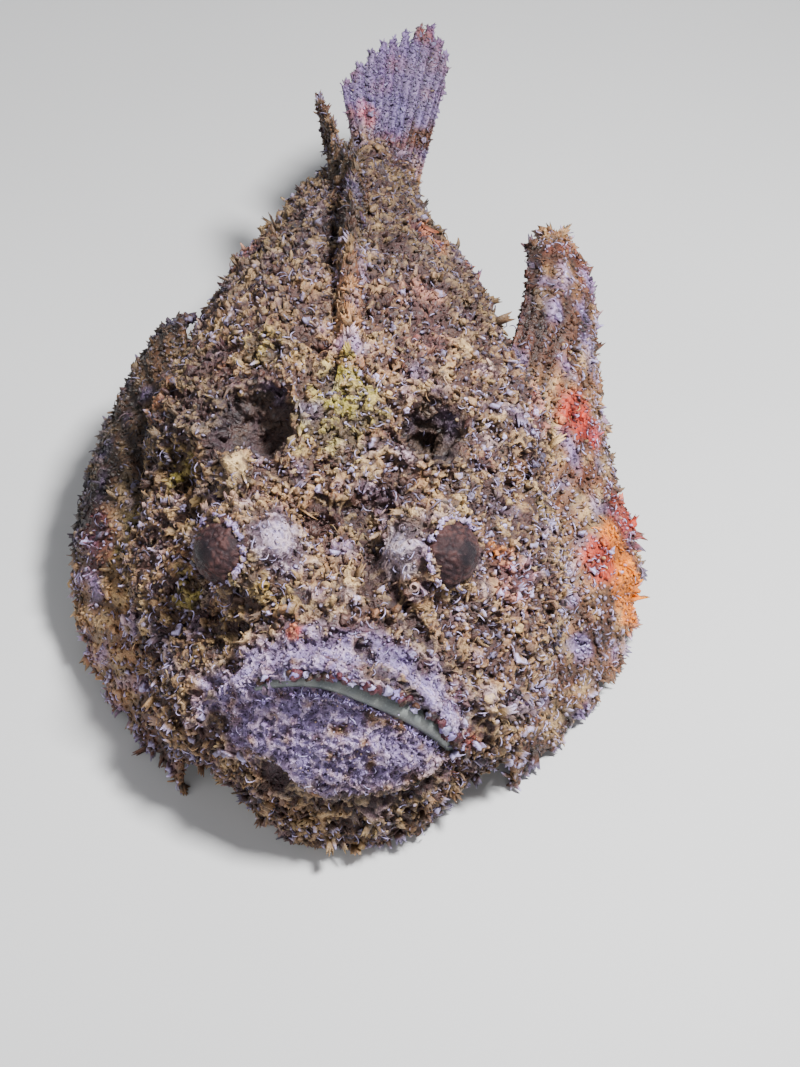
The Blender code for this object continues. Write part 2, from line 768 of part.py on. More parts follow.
def build():
    clear_scene()
    collection = bpy.data.collections.new("stonefish")
    bpy.context.scene.collection.children.link(collection)
    body = flesh()
    clear = grown(body, FIN_GAP)
    fins = {
        "pectoral_fin_left": pectoral(1),
        "pectoral_fin_right": pectoral(-1),
        "pelvic_fin_left": pelvic(1),
        "pelvic_fin_right": pelvic(-1),
        "caudal_fin": caudal(),
        "dorsal_fin_spiny": median_fin(
            DORSAL_SPINES, 4, DORSAL_START, DORSAL_SPINE_END, DORSAL_SPINE_HEIGHTS,
            DORSAL_LEAN, SPINE_THICKNESS, SPINE_NOTCH, 1,
        ),
        "dorsal_fin_soft": median_fin(
            SOFT_DORSAL_RAYS, 4, SOFT_DORSAL_START, SOFT_DORSAL_END, SOFT_DORSAL_HEIGHTS,
            DORSAL_LEAN, SOFT_DORSAL_THICKNESS, SOFT_DORSAL_NOTCH, 1,
        ),
        "anal_fin": median_fin(
            ANAL_RAYS, 4, ANAL_START, ANAL_END, ANAL_HEIGHTS,
            ANAL_LEAN, ANAL_THICKNESS, ANAL_NOTCH, -1,
        ),
    }
    for name, fin in fins.items():
        fin = keep_largest(boolean(fin, clear, "DIFFERENCE", "MANIFOLD"))
        if min(v.co.z for v in fin.verts) < 0:
            cut_plane(fin, (0, 0, 0), (0, 0, -1))
        fins[name] = fin
    raise_warts(body, list(fins.values()))

    nodes = dict(fins)
    head = body.copy()
    cut_plane(head, (0, HEAD_END - GAP / 2, 0), (0, 1, 0))
    nodes["lower_jaw"] = keep_largest(boolean(head, mouth_block(-GAP / 2), "INTERSECT", "MANIFOLD"))
    head = boolean(head, mouth_block(GAP / 2), "DIFFERENCE", "MANIFOLD")
    for side, word in ((1, "left"), (-1, "right")):
        centre, look = eye_centre(side)
        nodes["eye_" + word] = ball(centre, EYE_RADIUS)
        head = boolean(head, ball(centre, EYE_RADIUS + GAP), "DIFFERENCE", "MANIFOLD")
    nodes["head"] = keep_largest(head)
    torso = body.copy()
    cut_plane(torso, (0, HEAD_END + GAP / 2, 0), (0, -1, 0))
    cut_plane(torso, (0, TORSO_END - GAP / 2, 0), (0, 1, 0))
    nodes["torso"] = keep_largest(torso)
    cut_plane(body, (0, TORSO_END + GAP / 2, 0), (0, -1, 0))
    nodes["tail_stem"] = keep_largest(body)

    points = np.array([v.co for bm in nodes.values() for v in bm.verts])
    low, high = points.min(axis=0), points.max(axis=0)
    offset = Vector(((low[0] + high[0]) / 2, (low[1] + high[1]) / 2, 0))
    for name, bm in nodes.items():
        colour, roughness = LOOKS[name.split("_")[0]]
        place(name, bm, material(name, colour, roughness), collection, offset)


build()
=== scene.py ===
"""Looks of the reef stonefish: one warty skin, its coat of tubercles and papillae, fins and eyes.

Everything is laid out in a working frame with the chin at y = 0, as the solids are, and each piece
is moved to the model's own frame when it is made.
"""

import math
import random

import bmesh
import bpy
import numpy as np
from mathutils import Matrix, Vector, noise
from mathutils.bvhtree import BVHTree


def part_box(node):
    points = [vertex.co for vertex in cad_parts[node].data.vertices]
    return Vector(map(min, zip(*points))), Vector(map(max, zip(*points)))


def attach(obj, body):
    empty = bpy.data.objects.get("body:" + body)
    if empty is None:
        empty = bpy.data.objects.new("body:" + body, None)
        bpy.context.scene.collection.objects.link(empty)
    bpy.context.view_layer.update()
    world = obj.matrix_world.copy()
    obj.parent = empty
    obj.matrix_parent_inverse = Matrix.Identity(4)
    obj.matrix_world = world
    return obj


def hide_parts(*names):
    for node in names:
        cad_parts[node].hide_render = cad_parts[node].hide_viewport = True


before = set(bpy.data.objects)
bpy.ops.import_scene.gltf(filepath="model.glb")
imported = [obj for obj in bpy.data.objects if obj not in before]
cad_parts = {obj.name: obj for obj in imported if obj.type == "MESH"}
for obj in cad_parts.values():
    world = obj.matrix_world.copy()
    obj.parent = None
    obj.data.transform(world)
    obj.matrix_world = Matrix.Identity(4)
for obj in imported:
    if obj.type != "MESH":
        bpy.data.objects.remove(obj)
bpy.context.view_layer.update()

# Spine, trunk and head: the same named values as the solids.
TOTAL_LENGTH = 0.345
BEND_START = 0.18
BEND_ANGLE = math.radians(20)
ROLL_START = 0.205
ROLL_END = 0.295
ROLL_ANGLE = math.radians(52)
SECTIONS = (
    (0.020, 0.026, 0.054, -0.004),
    (0.045, 0.048, 0.076, -0.005),
    (0.080, 0.058, 0.092, -0.005),
    (0.115, 0.061, 0.106, -0.005),
    (0.150, 0.060, 0.112, -0.005),
    (0.185, 0.053, 0.107, -0.003),
    (0.220, 0.038, 0.096, 0.008),
    (0.250, 0.025, 0.087, 0.026),
    (0.275, 0.015, 0.079, 0.040),
    (0.293, 0.010, 0.078, 0.046),
)
SQUARENESS = 2.35
WIDEST_SHARE = 0.42
SNOUT = ((0.000, 0.047, 0.049), (0.043, 0.039, 0.037))
CHIN = ((0.000, 0.027, 0.036), (0.041, 0.028, 0.036))
THROAT = ((0.000, 0.030, 0.012), (0.038, 0.031, 0.024))
JOWL = ((0.040, 0.045, 0.031), (0.022, 0.028, 0.029))
CHEEK = ((0.040, 0.086, 0.036), (0.034, 0.052, 0.038))
SHOULDER = ((0.044, 0.124, 0.050), (0.025, 0.040, 0.046))
EYE_MOUNDS = (
    ((-0.028, 0.055, 0.082), (0.0165, 0.0175, 0.0165)),
    ((0.024, 0.055, 0.082), (0.0155, 0.0175, 0.0165)),
)
BROW_KNOB = ((-0.0325, 0.078, 0.092), (0.0080, 0.0085, 0.0085))
HOLLOWS = (
    ((-0.0300, 0.097, 0.097), 0.0145, 0.0160, 0.0025),
    ((-0.0530, 0.096, 0.074), 0.0130, 0.0080, 0.0015),
    ((0.0278, 0.095, 0.096), 0.0110, 0.0165, 0.0035),
    ((0.0540, 0.096, 0.074), 0.0100, 0.0050, 0.0010),
    ((0.0060, 0.068, 0.088), 0.0100, 0.0105, 0.0000),
    ((-0.0080, 0.066, 0.086), 0.0080, 0.0060, 0.0000),
    ((0.0330, 0.036, 0.066), 0.0090, 0.0035, 0.0000),
    ((-0.0350, 0.036, 0.066), 0.0090, 0.0035, 0.0000),
)
DEEP_HOLLOW = 0.0125
HOLLOW_AIM = 0.05
HOLLOW_REACH = 1.9
RIM_PLACE = 1.15
RIM_SPREAD = 0.3
FOLDS = (
    (((0.0063, 0.0228, 0.0756), (0.0139, 0.0130, 0.0773), (0.0206, 0.0105, 0.0686),
      (0.0273, 0.0118, 0.0533), (0.0320, 0.0119, 0.0390)), 0.0034, 0.0030),
    (((0.0331, 0.0240, 0.0644), (0.0391, 0.0196, 0.0511), (0.0460, 0.0248, 0.0262)), 0.0042, 0.0036),
    (((-0.0396, 0.0377, 0.0641), (-0.0420, 0.0233, 0.0571), (-0.0384, 0.0180, 0.0462)), 0.0042, 0.0030),
    (((0.0140, 0.0386, 0.0818), (0.0202, 0.0330, 0.0776), (0.0259, 0.0282, 0.0721)), 0.0034, 0.0026),
    (((-0.0237, 0.0057, 0.0397), (-0.0125, 0.0007, 0.0316), (0.0025, -0.0004, 0.0293),
      (0.0204, 0.0026, 0.0292), (0.0309, 0.0097, 0.0324)), 0.0055, 0.0024),
)
MOUTH_CENTRE = (-0.0017, 0.0125, 0.0337)
MOUTH_HALF_WIDTH = 0.042
MOUTH_ARCH = 0.0375
MOUTH_ROLL = math.radians(21)
MOUTH_SKEW = -0.25
MOUTH_POWER = 2.2
MOUTH_SET_BACK = 0.009
LIP_RADIUS = 0.0050
LOWER_LIP_SHARE = 1.15
LIP_TAPER = 0.2
MOUTH_GROOVE_WIDTH = 0.0045
MOUTH_GROOVE_DEPTH = 0.0030
MOUTH_GROOVE_BACK = 0.030
NOSTRILS = ((0.016, 0.034, 0.083), (0.021, 0.040, 0.084), (-0.018, 0.034, 0.083), (-0.023, 0.040, 0.084))
EYE_RADIUS = 0.0105
EYE_LOOKS = ((-0.70, -0.49, 0.51), (0.67, -0.51, 0.54))
EYE_SET_OUT = 0.0082
LID_RADIUS = 0.0020
LID_RING = 0.0092
LID_SET_OUT = 0.0056
LUMP_WIDTH = (0.0120, 0.0060)
LUMP_HEIGHT = (0.0018, 0.0014)
MASS_VOXEL = 0.0040
MASS_SMOOTHINGS = 14
VOXEL = 0.0022
SMOOTHINGS = 5

# Fins: the same rays, roots and tips as the solids. Thickness at root and tip, and how deep the
# margin is notched between rays, as a share of a ray.
PECTORAL_RAYS = 15
PECTORAL_ROOT = (
    (0.048, 0.136, 0.066),
    (0.058, 0.122, 0.056),
    (0.062, 0.098, 0.044),
    (0.058, 0.070, 0.032),
    (0.047, 0.048, 0.021),
    (0.036, 0.036, 0.013),
)
PECTORAL_BULGE = (0.004, 0.000, 0.011)
PECTORAL_THICKNESS = (0.0042, 0.0020)
PECTORAL_NOTCH = 0.09
LEFT_PECTORAL_TIP = (
    (0.064, 0.220, 0.070),
    (0.076, 0.226, 0.073),
    (0.087, 0.208, 0.062),
    (0.088, 0.172, 0.044),
    (0.092, 0.140, 0.034),
    (0.100, 0.110, 0.021),
    (0.094, 0.082, 0.009),
    (0.078, 0.055, 0.0035),
    (0.054, 0.028, 0.0030),
)
RIGHT_PECTORAL_TIP = (
    (-0.058, 0.188, 0.062),
    (-0.068, 0.184, 0.058),
    (-0.078, 0.166, 0.050),
    (-0.086, 0.146, 0.042),
    (-0.092, 0.124, 0.032),
    (-0.094, 0.102, 0.020),
    (-0.089, 0.080, 0.009),
    (-0.075, 0.055, 0.0035),
    (-0.052, 0.026, 0.0030),
)
PELVIC_RAYS = 6
PELVIC_ROOT = ((0.030, 0.106, 0.004), (0.040, 0.116, 0.008))
PELVIC_TIP = ((0.034, 0.168, 0.0022), (0.052, 0.166, 0.0022), (0.064, 0.146, 0.0026))
PELVIC_THICKNESS = (0.0040, 0.0020)
PELVIC_NOTCH = 0.10
CAUDAL_RAYS = 12
CAUDAL_ROOT_S = 0.280
CAUDAL_ROOT_HALF = 0.014
CAUDAL_THICKNESS = (0.0060, 0.0018)
CAUDAL_NOTCH = 0.10
CAUDAL_TIP = (
    (-0.0060, 0.3040, 0.0850),
    (0.0065, 0.3260, 0.0880),
    (0.0160, 0.3370, 0.0865),
    (0.0280, 0.3505, 0.0860),
    (0.0360, 0.3440, 0.0760),
    (0.0350, 0.3290, 0.0690),
)
DORSAL_SPINES = 13
DORSAL_START = 0.106
DORSAL_SPINE_END = 0.232
DORSAL_SPINE_HEIGHTS = (0.009, 0.013, 0.015, 0.014, 0.013, 0.013, 0.012)
DORSAL_LEAN = math.radians(46)
SPINE_THICKNESS = (0.0110, 0.0036)
SPINE_NOTCH = 0.45
SOFT_DORSAL_RAYS = 6
SOFT_DORSAL_START = 0.238
SOFT_DORSAL_END = 0.270
SOFT_DORSAL_HEIGHTS = (0.016, 0.023, 0.024, 0.014)
SOFT_DORSAL_THICKNESS = (0.0040, 0.0018)
SOFT_DORSAL_NOTCH = 0.12
ANAL_RAYS = 8
ANAL_START = 0.205
ANAL_END = 0.258
ANAL_HEIGHTS = (0.010, 0.017, 0.021, 0.017)
ANAL_LEAN = math.radians(62)
ANAL_THICKNESS = (0.0045, 0.0020)
ANAL_NOTCH = 0.15
FIN_SINK = 0.004

# Camera: how far it looks down, its turn and roll, what it looks at, its distance, the focal length
# on a frame 1067 pixels high, and the height of the sensor in millimetres.
VIEW_DOWN = math.radians(46.5)
VIEW_TURN = math.radians(0.9)
VIEW_ROLL = math.radians(1.2)
VIEW_TARGET = (0.0173, 0.1027, 0.040)
VIEW_DISTANCE = 0.585
VIEW_FOCAL_PIXELS = 1745
VIEW_PIXELS_HIGH = 1067
SENSOR_HEIGHT = 36

# Lights: name, place, size and power. All point at one place.
LIGHTS = (
    ("key", (0.26, -0.16, 0.68), 0.12, 16.5),
    ("fill", (-0.75, -0.60, 0.55), 0.9, 4.0),
    ("back", (-0.25, 0.90, 0.60), 0.7, 2.5),
    ("front", (0.10, -0.95, 0.50), 0.6, 2.2),
)
LIGHT_TARGET = (0, 0, 0.04)
WORLD_TONE = (0.80, 0.84, 0.95)
WORLD_STRENGTH = 0.20
FLOOR_HALF = 3.0

# The seed of all random draws.
SEED = 13

# Colours, linear.
CREAM = (0.52, 0.34, 0.155)
TAN = (0.27, 0.125, 0.052)
BROWN = (0.085, 0.032, 0.017)
RUST = (0.19, 0.045, 0.026)
# Painted shade for hollows, folds, creases, the middles of skin cells, the gaps between eye grains and
# round the eyes.
PAINTED_SHADE = (0.011, 0.006, 0.009)
# Painted shade in the holes and low ground of the skin.
HOLE_SHADE = (0.034, 0.014, 0.013)
LILAC = (0.31, 0.235, 0.54)
PALE = (0.58, 0.50, 0.86)
OLIVE = (0.29, 0.25, 0.025)
ORANGE = (0.76, 0.19, 0.004)
RED = (0.38, 0.030, 0.014)
PINK = (0.50, 0.14, 0.16)
MAROON = (0.085, 0.012, 0.022)
GREY_GREEN = (0.085, 0.098, 0.100)
LINING_GREY = (0.15, 0.16, 0.15)
EYE_BROWN = (0.030, 0.0125, 0.0135)
EYE_RUST = (0.060, 0.025, 0.023)
EYE_SPECK = (0.15, 0.08, 0.085)
PUPIL = (0.004, 0.003, 0.006)
TAIL_TONE = (0.112, 0.088, 0.245)
DOME_LEFT = (0.34, 0.28, 0.47)
DOME_RIGHT = (0.33, 0.29, 0.42)

# Blotches on skin, coat and fins alike: centre, radius, colour, strength.
BLOTCHES = (
    ((0.0933, 0.0946, 0.0293), 0.0105, ORANGE, 1.0),
    ((0.0886, 0.1020, 0.0385), 0.0065, ORANGE, 0.9),
    ((0.0958, 0.0918, 0.0197), 0.0100, ORANGE, 1.0),
    ((0.0838, 0.0927, 0.0387), 0.0085, RED, 0.9),
    ((0.0930, 0.1180, 0.0330), 0.0100, RED, 0.7),
    ((0.0769, 0.1401, 0.0603), 0.0090, RED, 0.9),
    ((0.0641, 0.1216, 0.0793), 0.0080, PINK, 0.8),
    ((0.0827, 0.1403, 0.0532), 0.0080, RED, 0.8),
    ((0.0477, 0.0662, 0.0706), 0.0046, ORANGE, 1.0),
    ((0.0540, 0.0602, 0.0645), 0.0085, PINK, 0.8),
    ((0.0400, 0.0182, 0.0386), 0.0048, RED, 1.0),
    ((0.0363, 0.0203, 0.0554), 0.0055, MAROON, 0.9),
    ((0.0275, 0.1902, 0.1000), 0.0080, RED, 0.8),
    ((0.0453, 0.1885, 0.0878), 0.0080, RED, 0.8),
    ((0.0228, 0.1462, 0.1088), 0.0090, PINK, 0.6),
    ((0.0259, 0.1304, 0.1052), 0.0080, PINK, 0.6),
    ((-0.0051, 0.0954, 0.0982), 0.0120, OLIVE, 0.8),
    ((-0.0006, 0.1046, 0.1024), 0.0100, OLIVE, 0.7),
    ((0.0056, 0.0993, 0.0989), 0.0080, OLIVE, 0.7),
    ((-0.0273, 0.1239, 0.1038), 0.0080, OLIVE, 0.6),
    ((-0.0537, 0.1009, 0.0728), 0.0080, OLIVE, 0.7),
    ((-0.0480, 0.0560, 0.0620), 0.0070, OLIVE, 0.7),
    ((-0.0339, 0.0745, 0.0988), 0.0075, CREAM, 0.9),
    ((-0.0095, 0.0001, 0.0309), 0.0032, ORANGE, 1.0),
    ((-0.0442, 0.0321, 0.0610), 0.0045, RED, 0.6),
    ((-0.0840, 0.0973, 0.0412), 0.0110, MAROON, 0.8),
    ((-0.0142, 0.0264, 0.0786), 0.0026, RED, 0.9),
    ((-0.0389, 0.1884, 0.0919), 0.0080, PINK, 0.5),
    ((-0.0612, 0.1211, 0.0825), 0.0090, RED, 0.5),
    ((0.0448, 0.0927, 0.0853), 0.0060, MAROON, 0.8),
    ((0.0163, 0.1352, 0.1094), 0.0140, BROWN, 0.7),
    ((-0.0157, 0.1388, 0.1101), 0.0160, BROWN, 0.7),
    ((-0.0112, 0.0972, 0.1026), 0.0045, PALE, 0.8),
    ((-0.0175, 0.0490, 0.0928), 0.0105, DOME_LEFT, 0.8),
    ((0.0150, 0.0462, 0.0922), 0.0095, DOME_RIGHT, 0.8),
    ((0.0185, 0.0185, 0.0705), 0.0055, LILAC, 0.8),
    ((0.0262, 0.0150, 0.0645), 0.0062, LILAC, 0.8),
    ((0.0330, 0.0142, 0.0520), 0.0062, LILAC, 0.8),
    # These four dark blotches are painted shade in and round the hollows of the head and between the eye
    # mounds.
    ((-0.0505, 0.1130, 0.0870), 0.0150, PAINTED_SHADE, 0.80),
    ((0.0045, 0.0690, 0.0830), 0.0062, PAINTED_SHADE, 0.80),
    ((-0.0405, 0.1020, 0.0960), 0.0120, PAINTED_SHADE, 0.85),
    ((0.0285, 0.0890, 0.0930), 0.0085, PAINTED_SHADE, 0.90),
    ((0.0560, 0.0836, 0.0692), 0.0070, BROWN, 0.60),
    ((0.0040, 0.2985, 0.0760), 0.0048, PINK, 0.7),
    ((0.0040, 0.2975, 0.0760), 0.0026, MAROON, 0.7),
)

# Patches of bare, smooth skin: centre and radius.
SMOOTH_PATCHES = (
    ((-0.0180, 0.0500, 0.0930), 0.0118),
    ((0.0150, 0.0468, 0.0925), 0.0105),
    ((0.0255, 0.0150, 0.0650), 0.0062),
    ((0.0330, 0.0142, 0.0530), 0.0055),
    ((-0.0339, 0.0745, 0.0988), 0.0070),
    ((0.0566, 0.0882, 0.0690), 0.0070),
)

# Creases that only the skin has: points along each, half width and depth. They run between the
# eye mounds, down beside the snout, round the outer side of the right eye and before the hollows.
CREASES = (
    (((-0.0072, 0.0715, 0.0865), (0.0021, 0.0700, 0.0829), (0.0062, 0.0640, 0.0815),
      (0.0078, 0.0542, 0.0872), (0.0066, 0.0479, 0.0854), (0.0095, 0.0426, 0.0840)), 0.0046, 0.0026),
    (((0.0095, 0.0426, 0.0840), (0.0167, 0.0382, 0.0805), (0.0209, 0.0346, 0.0758),
      (0.0239, 0.0303, 0.0710)), 0.0028, 0.0018),
    (((0.0067, 0.0394, 0.0834), (0.0111, 0.0320, 0.0822), (0.0150, 0.0274, 0.0787)), 0.0024, 0.0015),
    (((-0.0445, 0.0520, 0.0850), (-0.0415, 0.0440, 0.0770), (-0.0356, 0.0400, 0.0770),
      (-0.0302, 0.0384, 0.0805)), 0.0036, 0.0018),
    (((-0.0439, 0.0835, 0.0799), (-0.0372, 0.0712, 0.0898), (-0.0282, 0.0669, 0.0950)), 0.0030, 0.0014),
    (((-0.0439, 0.0956, 0.0890), (-0.0430, 0.0883, 0.0852), (-0.0435, 0.0833, 0.0802)), 0.0042, 0.0018),
    (((-0.0335, 0.0384, 0.0633), (-0.0279, 0.0339, 0.0732), (-0.0237, 0.0344, 0.0759)), 0.0030, 0.0016),
    (((-0.0126, 0.0393, 0.0824), (-0.0088, 0.0327, 0.0829), (-0.0036, 0.0294, 0.0815)), 0.0024, 0.0012),
)

# How far the painted shade of a fold or a crease spreads past its half width, and where the last of the
# folds and the last of the face end.
FOLD_SPREAD = 0.0016
CREASE_SPREAD = 0.0006
FOLDS_BACK = 0.10
FACE_BACK = 0.055

# Coat: the spacing of each kind of tuft and the ranges of its half width and its height.
KNOB = {"spacing": 0.0019, "width": (0.0004, 0.0010), "height": (0.0006, 0.0018)}
GRIT = {"name": "grit", "spacing": 0.0013, "width": (0.00030, 0.00055), "height": (0.0004, 0.0010)}
FIN_GRIT = {"name": "grit", "spacing": 0.0019, "width": (0.0004, 0.0009), "height": (0.0005, 0.0014)}
CLUMP = {"spacing": 0.0064, "width": (0.0009, 0.0017), "height": (0.0010, 0.0022)}
PAPILLA = {"spacing": 0.0054, "width": (0.0005, 0.0011), "height": (0.0018, 0.0040)}
FLAP = {"spacing": 0.0085, "width": (0.0014, 0.0028), "height": (0.0028, 0.0060)}
SKIRT = {"name": "skirt", "spacing": 0.0046, "width": (0.0013, 0.0026), "height": (0.0022, 0.0050)}
THREAD = {"spacing": 0.0030, "width": (0.0018, 0.0042), "height": (0.0006, 0.0014)}
FRINGE = {"width": (0.0014, 0.0030), "height": (0.0026, 0.0060)}
BEAD = {"width": (0.0009, 0.0016), "height": (0.0010, 0.0018)}
CILIA = {"width": (0.0002, 0.0003), "height": (0.0014, 0.0026)}
NOSTRIL = {"width": (0.0010, 0.0013), "height": (0.0016, 0.0022)}

# The height up to which the skirt grows, and how far tufts keep from the eyes.
SKIRT_TOP = 0.024
KNOB_EYE_GAP = 0.0003
TUFT_EYE_GAP = 0.0022

# How many beads and cilia the lips have, how far before the lips their places are looked for, and
# how many warts stand round each eye, with their distance from its middle and toward its front.
LIP_BEADS = 64
LIP_CILIA = 260
LIP_FRONT = Vector((0, -0.004, 0))
LID_WARTS = 90
LID_WART_RING = EYE_RADIUS + 0.0004
LID_WART_OUT = 0.0050

# The most triangles in one piece of the coat, the size of a tuft on the unwrap, and the length of
# fish that the unwrap takes in.
COAT_PIECE_TRIANGLES = 180000
UV_PATCH = 0.003
UNWRAP_LENGTH = 0.36

# Membrane between the lips: half width, how far it comes forward, how far below the mouth's line.
LINING_HALF = 0.0034
LINING_OUT = 0.0040
LINING_DROP = 0.0010

# Skin: width and height of its lumps, of the network of ridges over them, then two sizes of hole
# as width, share of the cells that have one, and depth.
LUMP = (0.0060, 0.0021)
RIDGE = (0.0026, 0.0009)
HOLES = ((0.0044, 0.34, 0.0020), (0.0025, 0.24, 0.0010))
SKIN_SINK = 0.0004

# The mesh is finer on the head: in front of this place and above this height.
FINE_BACK = 0.135
FINE_FLOOR = 0.014

# The lowest heights over the floor of skin, coat and fins.
SKIN_FLOOR = 0.0002
COAT_FLOOR = 0.0003
FIN_FLOOR = 0.0004


def smooth(t):
    """Eases from 0 to 1 as t goes from 0 to 1."""
    t = np.clip(t, 0.0, 1.0)
    return t * t * (3 - 2 * t)


def above(values, start, span):
    """0 up to the start, easing to 1 over the span."""
    return smooth((values - start) / span)


def below(values, end, span):
    """0 past the end, easing to 1 over the span before it."""
    return smooth((end - values) / span)


def distance(points, spot):
    return np.linalg.norm(points - np.array(spot), axis=1)


def turned(first, second, c, s):
    """Two directions at right angles, turned together by the angle of that cosine and sine."""
    return first * c + second * s, second * c - first * s


def through(points, t):
    """A smooth line through the points, at t from 0 to 1."""
    table = np.array(points, dtype=float)
    if table.ndim == 1:
        table = table[:, None]
    last = len(table) - 1
    slopes = np.gradient(table, axis=0)
    place = min(max(t, 0.0), 1.0) * last
    i = min(int(place), last - 1)
    u = place - i
    value = (
        (2 * u**3 - 3 * u**2 + 1) * table[i]
        + (u**3 - 2 * u**2 + u) * slopes[i]
        + (3 * u**2 - 2 * u**3) * table[i + 1]
        + (u**3 - u**2) * slopes[i + 1]
    )
    return value if len(value) > 1 else float(value[0])


def section_at(s):
    """Half width, top and bottom of the trunk at s."""
    places = [row[0] for row in SECTIONS]
    index = np.interp(s, places, range(len(places)))
    return through([row[1:] for row in SECTIONS], index / (len(places) - 1))


def heading(s):
    return BEND_ANGLE * max(0.0, s - BEND_START) / (TOTAL_LENGTH - BEND_START)


def spine(s):
    """x and y of the spine at distance s behind the chin."""
    steps = np.linspace(0, s, 40)
    angles = [heading(a) for a in steps]
    width = steps[1] - steps[0]
    x = width * sum(math.sin(a) for a in angles[1:])
    y = width * sum(math.cos(a) for a in angles[1:])
    return x, y


def frame_at(s):
    """Middle of the section at s, with its left and up directions after bend and roll."""
    x, y = spine(s)
    angle = heading(s)
    roll = ROLL_ANGLE * float(smooth((s - ROLL_START) / (ROLL_END - ROLL_START)))
    _, top, bottom = section_at(min(s, SECTIONS[-1][0]))
    middle = bottom + WIDEST_SHARE * (top - bottom)
    across = Vector((math.cos(angle), -math.sin(angle), 0))
    left, up = turned(across, Vector((0, 0, 1)), math.cos(roll), math.sin(roll))
    return Vector((x, y, middle)), left, up


def on_trunk(s, side, height):
    middle, left, up = frame_at(s)
    return middle + left * side + up * height


def ellipsoid(bm, centre, radii, segments=28):
    """Rings of corners closed at two poles, always in the same order, so that each run is alike."""
    middle, size = Vector(centre), Vector(radii)
    rings = segments * 2 // 3
    loops = []
    for i in range(1, rings):
        out, up = math.sin(math.pi * i / rings), math.cos(math.pi * i / rings)
        turns = [2 * math.pi * k / segments for k in range(segments)]
        ways = [Vector((out * math.cos(turn), out * math.sin(turn), up)) for turn in turns]
        loops.append([bm.verts.new(middle + way * size) for way in ways])
    top = bm.verts.new(middle + Vector((0, 0, 1)) * size)
    bottom = bm.verts.new(middle - Vector((0, 0, 1)) * size)
    for k in range(segments):
        n = (k + 1) % segments
        bm.faces.new((top, loops[0][k], loops[0][n]))
        for a, b in zip(loops, loops[1:]):
            bm.faces.new((a[k], b[k], b[n], a[n]))
        bm.faces.new((bottom, loops[-1][n], loops[-1][k]))


def bridge(bm, loops):
    """Faces between each loop of corners and the next."""
    sides = len(loops[0])
    for a, b in zip(loops, loops[1:]):
        for k in range(sides):
            n = (k + 1) % sides
            bm.faces.new((a[k], a[n], b[n], b[k]))


def trunk_loft(bm, rings=44, sides=40):
    loops = []
    for s in np.linspace(SECTIONS[0][0], SECTIONS[-1][0], rings):
        half, top, bottom = section_at(s)
        middle = bottom + WIDEST_SHARE * (top - bottom)
        loop = []
        for k in range(sides):
            angle = 2 * math.pi * k / sides
            c, d = math.cos(angle), math.sin(angle)
            side = half * math.copysign(abs(c) ** (2 / SQUARENESS), c)
            reach = (top - middle) if d > 0 else (middle - bottom)
            height = reach * math.copysign(abs(d) ** (2 / SQUARENESS), d)
            loop.append(bm.verts.new(on_trunk(s, side, height)))
        loops.append(loop)
    bridge(bm, loops)
    bm.faces.new(list(reversed(loops[0])))
    bm.faces.new(loops[-1])


def mouth_point(u, lift=0.0):
    """A point of the mouth's line at u from -1 to 1, with lift metres across it."""
    along = u * MOUTH_HALF_WIDTH
    from_top = (u - MOUTH_SKEW) / (1 - MOUTH_SKEW if u > MOUTH_SKEW else 1 + MOUTH_SKEW)
    over = MOUTH_ARCH * (1 - abs(from_top) ** MOUTH_POWER) + lift
    x = MOUTH_CENTRE[0] + along * math.cos(MOUTH_ROLL) + over * math.sin(MOUTH_ROLL)
    z = MOUTH_CENTRE[2] - along * math.sin(MOUTH_ROLL) + over * math.cos(MOUTH_ROLL)
    return Vector((x, MOUTH_CENTRE[1] + MOUTH_SET_BACK * u * u, z))


def lips(bm, beads=17):
    for lift, share in ((LIP_RADIUS, 1.0), (-LIP_RADIUS, LOWER_LIP_SHARE)):
        for k in range(beads):
            u = -1 + 2 * k / (beads - 1)
            radius = LIP_RADIUS * share * (1 - LIP_TAPER * u * u)
            ellipsoid(bm, mouth_point(u, lift), (radius, radius, radius), 12)


def eye_centre(side):
    """Middle of an eye and the way it looks."""
    which = 0 if side < 0 else 1
    look = Vector(EYE_LOOKS[which]).normalized()
    return Vector(EYE_MOUNDS[which][0]) + look * EYE_SET_OUT, look


def round_eye(look, angle):
    """The direction at an angle round the way an eye looks."""
    first = look.orthogonal().normalized()
    return first * math.cos(angle) + look.cross(first) * math.sin(angle)


def lids(bm, beads=14):
    for side in (-1, 1):
        centre, look = eye_centre(side)
        for k in range(beads):
            ring = round_eye(look, 2 * math.pi * k / beads)
            place = centre + ring * LID_RING + look * LID_SET_OUT
            ellipsoid(bm, place, (LID_RADIUS,) * 3, 10)


def offset_to_model():
    """What takes a point of the working frame to the model's, read from the left eye's place."""
    low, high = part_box("eye_left")
    return (Vector(low) + Vector(high)) / 2 - eye_centre(1)[0]


OFFSET = offset_to_model()


def new_object(name, data):
    obj = bpy.data.objects.new(name, data)
    bpy.context.scene.collection.objects.link(obj)
    return obj


def raw_object(name, bm):
    mesh = bpy.data.meshes.new(name)
    bm.to_mesh(mesh)
    bm.free()
    return new_object(name, mesh)


def modified(bm, *settings):
    """The mesh after a stack of modifiers, each given as its type and its values."""
    obj = raw_object("working", bm)
    for kind, values in settings:
        modifier = obj.modifiers.new(kind.lower(), kind)
        for key, value in values.items():
            setattr(modifier, key, value)
    graph = bpy.context.evaluated_depsgraph_get()
    result = bmesh.new()
    result.from_mesh(obj.evaluated_get(graph).data)
    bpy.data.objects.remove(obj, do_unlink=True)
    return result


